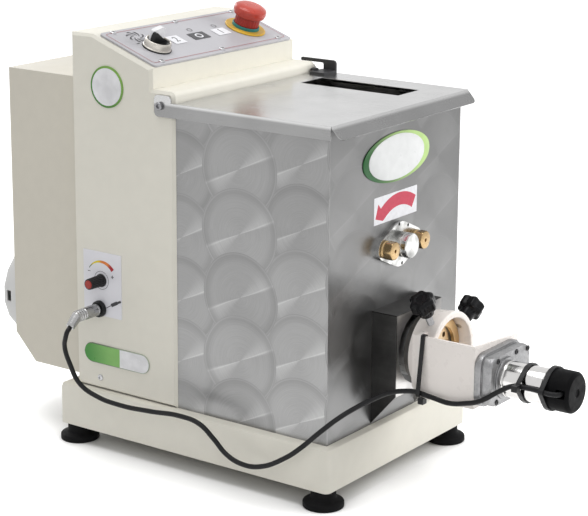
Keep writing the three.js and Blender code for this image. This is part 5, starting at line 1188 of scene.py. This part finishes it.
def add_bearing():
    """Front bearing of the mixer: two-eared flange, grooved hub and two hand nuts."""
    spread, ear, middle = 28.0, 11.5, 23.0
    thick = 5.0
    face = TANK_FRONT + thick
    outline = []
    reach = math.acos((middle - ear) / spread)
    for centre, radius, start, end in (
        (-spread, ear, math.pi - reach, math.pi + reach),
        (0.0, middle, math.pi + reach, 2 * math.pi - reach),
        (spread, ear, -reach, reach),
        (0.0, middle, reach, math.pi - reach),
    ):
        steps = 14
        for k in range(steps + 1):
            turn = start + (end - start) * k / steps
            outline.append(Vector((centre + radius * math.cos(turn), radius * math.sin(turn))))
    holes = [ellipse(1.7, 1.7, spot, 16) for spot in FLANGE_HOLES]
    plate = prism([outline] + holes, 0, thick, edge=0.7)
    place = front(0, -TANK_FRONT, MIXER_Z)
    add_piece("bearing_plate", plate, place, "bearing", ["mixer_bearing_flange"])
    crown, groove, length = 12.8, 12.0, 19.2
    hub = [(0, 4.5), (crown, 4.5), (crown, 12.2), (groove, 12.7), (groove, 13.7), (crown, 14.2)]
    hub += [(crown, length - 0.8), (groove, length), (0, length)]
    add_turned("bearing_hub", hub, place, "bearing", ["mixer_bearing_flange"], steps=72)
    nut = [(0, 0), (9.2, 0), (9.2, 1.4), (8.6, 1.8), (8.4, 2.2), (9.7, 3.2), (9.7, 10.2)]
    nut += [(8.8, 11.6), (7.9, 12.0), (1.9, 12.0), (1.7, 11.6), (1.7, 9.8), (0, 9.6)]
    wrench = within(hexagon(apothem=8.6), over=7.2, above=2.8)
    for side, name in ((-1, "left"), (1, "right")):
        node = "hand_nut_" + name
        nut_place = front(side * spread, -face - GAP, MIXER_Z)
        add_turned(node + "_body", nut, nut_place, "brass", [node], "nut_" + name, steps=72, shaper=wrench)
        stud = lathe([(0, -0.2), (3.0, -0.2), (3.0, 9.0), (0, 9.2)], steps=24)
        add_piece(node + "_stud", stud, nut_place, "steel")


def add_cutter():
    """Collar with its lug, and its lobed clamp knobs on threaded studs."""
    place = front(0, 0, AUGER_Z)
    back, face, bore = 227.0, 254.9, 35.6
    ring = rounded([
        (bore, back, 0.3),
        (COLLAR_BACK_RADIUS, back, 1.0),
        (COLLAR_RADIUS, face, 1.8),
        (bore, face, 1.0),
    ], True, 4)
    flat = 39.7

    def flatted(radius, height, turn):
        aside = -math.cos(turn)
        return min(radius, flat / aside) if aside > 0 else radius

    add_turned("collar_ring", ring, place, "white", ["cutter_collar"], steps=128, shaper=flatted, ring=True)
    outer, inner, low, high = -43.5, -38.0, 112.0, 169.5
    lug = [(outer, low, 1.0), (inner, low), (inner, 160.0), (-27.0, high), (outer, high, 1.0)]
    add_piece("collar_lug", prism(rounded(lug), low=238.6, high=244.4, edge=0.5), front(0, 0, 0), "white")
    neck, thread_low, pitch = 9.0, 35.5, 0.7
    crest = lobes(count=6, depth_share=0.17)
    for node, angle in KNOB_ANGLES.items():
        turn = math.radians(angle)
        way = Vector((math.cos(turn), 0, math.sin(turn)))
        origin = Vector((0, -KNOB_PLANE, AUGER_Z))
        knob_place = local_frame(origin, (0, -1, 0), way)
        start = KNOB_STARTS[node]
        head = start + neck
        profile = rounded([
            (0, start),
            (7.4, start, 0.6),
            (8.6, head - 0.8, 1.0),
            (12.9, head, 0.8),
            (13.4, head + 2, 1.5),
            (13.4, head + 10.5, 2.2),
            (10.8, head + 13.0, 1.5),
            (6.2, head + 13.0, 0.4),
            (5.6, head + 12.3, 0.3),
            (0, head + 12.3),
        ], False, 4)

        def lobed(radius, height, angle_round):
            grown = min(1.0, max(0.0, (radius - 8.0) / 3.0)) if height > head - 1.5 else 0.0
            return radius + (crest(radius, height, angle_round) - radius) * grown

        body = node.replace("knob_", "")
        add_turned(node + "_grip", profile, knob_place, "bakelite", [node], body, steps=120, shaper=lobed)
        thread = [(0, thread_low)]
        for k in range(round((start - thread_low) / pitch)):
            at = thread_low + pitch * k
            thread += [(3.0, at), (3.5, at + pitch / 2)]
        thread += [(3.0, start + 1.0), (0, start + 1.0)]
        add_turned(node + "_stud", thread, knob_place, "steel", [node], body, steps=24)


def add_cutter_motor():
    """Cast gearbox, chrome can, and the cap with the cable's slot and its tie."""
    x, z = CUTTER_MOTOR
    depth, inset, boss_height = 18.0, 4.0, 2.5
    left_edge, right_edge, low, high = -43.0, 35.0, 107.0, 160.5
    width, height = right_edge - left_edge, high - low
    centre = ((left_edge + right_edge) / 2, (low + high) / 2)
    place = front(0, -GEARBOX_BACK, 0)
    back = prism(rectangle(width, height, radius=12.0, centre=centre), 0, high=7.0, edge=0.8)
    inner = rectangle(width - inset, height - inset, radius=10.0, centre=centre)
    front_plate = prism(inner, low=6.0, high=depth, edge=2.2, segments=4)
    boss_top = depth + boss_height
    boss = [(0, depth - 1), (21, depth - 1), (21, depth + 2.0), (20.4, boss_top), (0, boss_top)]
    whole = merged(back, front_plate, shifted(lathe(boss, steps=64), x, z))
    add_piece("gearbox_body", whole, place, "cast", ["cutter_gearbox"])
    for i, (sx, sz) in enumerate(GEARBOX_SCREWS):
        spot = front(sx, -GEARBOX_BACK - depth, sz)
        add_piece(f"gearbox_screw_{i + 1}", screw(radius=2.8, height=1.6, socket=1.3), spot, "black_paint")
    can_place = front(x, -GEARBOX_BACK - depth - boss_height, z)
    length = CAP_BACK - GEARBOX_BACK - depth - boss_height
    can = [(0, 0), (18, 0, 0.5), (18, 3.4, 0.3), (17.5, 3.7, 0.3), (17.5, 4.4, 0.3), (18, 4.7, 0.3)]
    can += [(18, length - 2.4, 0.3), (17.6, length - 2, 0.3), (17.6, length, 0.2), (0, length)]
    add_turned("motor_can", rounded(can, False, 3), can_place, "chrome", ["cutter_motor_can"], steps=80)
    cap_place = front(x, -CAP_BACK - GAP, z)
    cap_radius, cap_end = 20.4, 27.7
    cap = [(0, 0), (cap_radius, 0, 0.4), (cap_radius, 25, 3.0), (17.4, cap_end, 0.8)]
    cap += [(4.4, cap_end, 0.4), (3.4, 26.6, 0.8), (0, 26.4)]
    cap_shape = lathe(rounded(cap, False, 5), steps=80)
    piece = add_piece("motor_cap", cap_shape, cap_place, "cap", ["cutter_motor_cap"])
    entry_z = 136.5
    held = [(x, z, cap_radius + 0.2), (-37.6, entry_z, CABLE_DIAMETER / 2 + 0.2)]
    tie = prism([strap(held, thick=1.3), strap(held, 0.0)], CAP_BACK + 0.6, CAP_BACK + 5.4)
    add_piece("cap_tie", tie, front(0, 0, 0), "black", ["tie_motor_cap"])
    slot = prism(rectangle(width=8.4, height=10.0, radius=1.6), 0, high=20, edge=0)
    slot_depth, slot_y = 9.0, -393.0
    slot_place = local_frame((x - cap_radius + slot_depth, slot_y, entry_z), (0, 0, 1), (-1, 0, 0))
    carve(piece, slot, slot_place)


def add_fasteners():
    """Hinge, console, side and interlock screws."""
    head = [(0, 0), (4.2, 0), (4.2, 2.4), (3.7, 3.0), (2.4, 3.0), (2.3, 2.7), (2.3, 1.2), (0, 1.0)]
    socket = within(hexagon(apothem=2.1), under=2.36)
    ear_thick = 3.2
    for side, node in ((-1, "hinge_screw_left"), (1, "hinge_screw_right")):
        place = local_frame((side * HINGE[0], *HINGE[1:]), (0, 1, 0), (side, 0, 0))
        body = shifted(lathe(head, steps=48, shaper=socket), z=ear_thick)
        shank = lathe([(0, -6), (2.5, -6), (2.5, 3.4), (0, 3.4)], steps=20)
        add_piece(node + "_head", merged(body, shank), place, "bolt", [node])
    for i, (across, up) in enumerate(CONSOLE_SCREWS):
        spot = console(across, up, PANEL_TOP - GAP)
        add_piece(f"console_screw_{i + 1}", screw(radius=3.4, height=1.5, socket=1.3), spot, "steel")
    add_piece("side_screw", screw(radius=3.5, height=1.8, socket=1.4), left(*SIDE_SCREW), "steel")
    place = Matrix.Translation(INTERLOCK_SCREW)
    add_piece("interlock_screw", screw(radius=4.6, height=2.6), place, "black", body="lid")


def add_print(name, outlines, place, finish, layer=0):
    """A printed or stuck-on form, lying on its surface or on the layers below it."""
    low = LIFT + layer * PRINT
    add_piece(name, prism(outlines, low, low + PRINT), place, finish)


def bar(start, end, width):
    """The outline of a straight stroke between two points."""
    a, b = Vector(start), Vector(end)
    aside = (b - a).orthogonal().normalized() * (width / 2)
    return [a - aside, b - aside, b + aside, a + aside]


def add_badge(name, rim, face, edge, place, rim_color, face_color):
    """A blank badge: a rim, and a face that stands a little over it."""
    add_piece(name + "_rim", prism(rim, LIFT, BADGE_RIM, edge), place, rim_color)
    add_piece(name + "_face", prism(face, BADGE_RIM - GAP, BADGE_FACE, edge=0.3), place, face_color)


def add_badges():
    """Blank badges where the maker's stood, and the arrow that shows which way the mixer turns."""
    oval = front(-2.6, -TANK_FRONT, 333.4)
    white = ellipse(50.3, 22.7, (-0.5, 0.0))
    add_badge("oval", ellipse(60.4, 25.0), white, 0.5, oval, "oval_green", "badge_white")
    panel = front(0, -TANK_FRONT, 0)
    label = rectangle(width=78.2, height=27.7, radius=0.6, centre=(-2.3, 283.55))
    add_print("arrow_label", label, panel, "white_ink")
    inner, outer, centre = 44.5, 57.7, (4.0, 238.0)
    band = arc_band(inner, outer, 58.3, 125.3, 24, centre)
    half = len(band) // 2
    head = [Vector((-34.0, 290.1)), Vector((-38.9, 275.9)), Vector((-25.4, 272.0))]
    add_print("turning_arrow", band[:half] + head + band[half:], panel, "red_ink", 1)
    disc = left(86.8, 390.0)
    add_badge("round", ellipse(21.5, 21.5), ellipse(19.3, 19.3), 0.4, disc, "round_green", "white_gloss")
    pill = left(79.35, 103.3)
    long, high, seam = 89.1, 21.0, 4.5
    edge = 0.8
    corner = high / 2 - edge - 0.1
    low_x, low_y = -long / 2 + edge, -high / 2 + edge
    shell = prism(rectangle(long, high, high / 2 - 0.1), LIFT, BADGE_RIM, edge=0.4)
    add_piece("pill_rim", shell, pill, "badge_rim")
    green = rounded([(low_x, low_y, corner), (seam, low_y), (seam, -low_y), (low_x, -low_y, corner)])
    pale = rounded([(seam, low_y), (-low_x, low_y, corner), (-low_x, -low_y, corner), (seam, -low_y)])
    for name, outline, color in (("pill_green", green, "pill_green"), ("pill_pale", pale, "white_gloss")):
        add_piece(name, prism(outline, BADGE_RIM - GAP, BADGE_FACE), pill, color)


def add_console_print():
    """Red border, fan, zero and one and two of the console."""
    panel = console(0, 0, PANEL_TOP)
    line = 0.55
    wide, high, middle = 223.0, 68.8, (-0.5, 39.4)
    inside = rectangle(wide - 2 * line, high - 2 * line, radius=3.5, centre=middle)
    border = [rectangle(wide, high, radius=4.0, centre=middle), inside]
    add_print("console_border", border, panel, "line_ink")
    fan = Vector((-79.0, 58.3))
    blades, root, tip, twist, width, steps = 8, 3.4, 12.0, 52.0, 15.0, 6
    for k in range(blades):
        edges = []
        for lead in (0.0, width):
            edge = []
            for step in range(steps + 1):
                part = step / steps
                turn = math.radians(360 * k / blades + twist * part + lead * (0.6 + 0.4 * part))
                reach = root + (tip - root) * part
                edge.append(fan + Vector((math.cos(turn), math.sin(turn))) * reach)
            edges.append(edge)
        add_print(f"fan_blade_{k + 1}", edges[0] + edges[1][::-1], panel, "ink")
    add_print("fan_dash", rectangle(width=4.5, height=0.9, radius=0, centre=(-91.0, 45.8)), panel, "ink")
    ring_line = 0.6
    ring_radii = (3.2, 3.2 - ring_line)
    for name, spot in (("ring_mark_1", (0.8, 53.2)), ("ring_mark_2", (40.8, 52.3))):
        add_print(name, [ellipse(r, r, spot, 32) for r in ring_radii], panel, "ink")
    fields = (("two", -37.0, 18.0, 39.5, 17.0, "2"), ("one", 37.8, 21.6, 39.0, 14.0, "1"))
    for name, across, width, up, height, digit in fields:
        field = rectangle(width, height, radius=0.8, centre=(across, up))
        add_print(f"field_{name}", field, panel, "white_ink")
        figure = shifted(lettering(digit, size=14.0), across, up, LIFT + 1.5 * PRINT)
        add_piece(f"figure_{name}", figure, panel, "ink")
    zero_field = rectangle(width=26.0, height=14.0, radius=0.8, centre=(0.0, 39.0))
    add_print("field_zero", zero_field, panel, "ink")
    zero = [ellipse(5.4, 4.6, (0.2, 39.0), 40), ellipse(3.6, 2.9, (0.2, 39.0), 40)]
    add_print("figure_zero", zero, panel, "white_ink", 1)


def add_speed_print():
    """Speed scale, signs and plug mark of the plate beside the tank."""
    plate = left(0, 0, -SIDE_FACE)
    knob = (-SPEED[0], SPEED[1])
    scale = arc_band((19.7, 17.9), (20.3, 22.3), 146.0, 39.0, 36, knob)
    add_print("speed_scale", scale, plate, "scale")
    add_print("speed_circle", [ellipse(9.9, 9.9, knob, 48), ellipse(9.5, 9.5, knob, 48)], plate, "ink")
    strokes = {
        "minus_sign": ((-117.1, 192.3), (-113.7, 192.3), 0.7, 0),
        "plus_across": ((-85.2, 190.3), (-81.6, 190.3), 0.8, 0),
        "plus_up": ((-83.4, 188.5), (-83.4, 192.1), 0.8, 1),
        "plug_lead": ((-92.4, 155.5), (-84.6, 159.9), 0.7, 0),
        "plug_grip": ((-85.4, 159.4), (-77.2, 163.6), 3.6, 1),
        "plug_end": ((-77.6, 163.2), (-72.3, 165.8), 2.4, 2),
    }
    for name, (start, end, width, layer) in strokes.items():
        add_print(name, bar(start, end, width), plate, "ink", layer)


def dress_nodes():
    """Gives the model's own parts their materials, with smooth rounds and crisp edges."""
    slot_finish = {
        "motorGrey": "motor_grey",
        "blackPlastic": "black",
        "polished": "chrome",
        "zinc": "barrel",
        "blackPaint": "black_paint",
        "consoleGrey": "console_grey",
        "labelWhite": "label",
    }
    node_finish = {
        "tank_casing": "turned",
        "lid": "lid",
        "outlet_guard": "guard",
        "ring_nut": "ring",
        "rear_cover": "cream_painted_shade",
    }
    for part in frame["record"]["subparts"]:
        name = part["node"]
        node = frame["nodes"][name]
        slot = part["material_slot"]
        finish = LOOK[node_finish.get(name, slot_finish.get(slot, slot))]
        node.data.materials.clear()
        node.data.materials.append(finish.material)
        node.data.shade_smooth()
        weld = node.modifiers.new("weld", "WELD")
        weld.merge_threshold = 0.01 * MM
        split = node.modifiers.new("crisp_edges", "EDGE_SPLIT")
        split.split_angle = NODE_CRISP_ANGLE


def main():
    add_camera()
    LOOK.update(make_finishes())
    add_cable(add_plug())
    add_floor()
    light_scene()
    dress_nodes()
    add_feet()
    add_speed_control()
    add_selector()
    add_stop()
    add_bearing()
    add_cutter()
    add_cutter_motor()
    add_fasteners()
    add_badges()
    add_console_print()
    add_speed_print()


main()
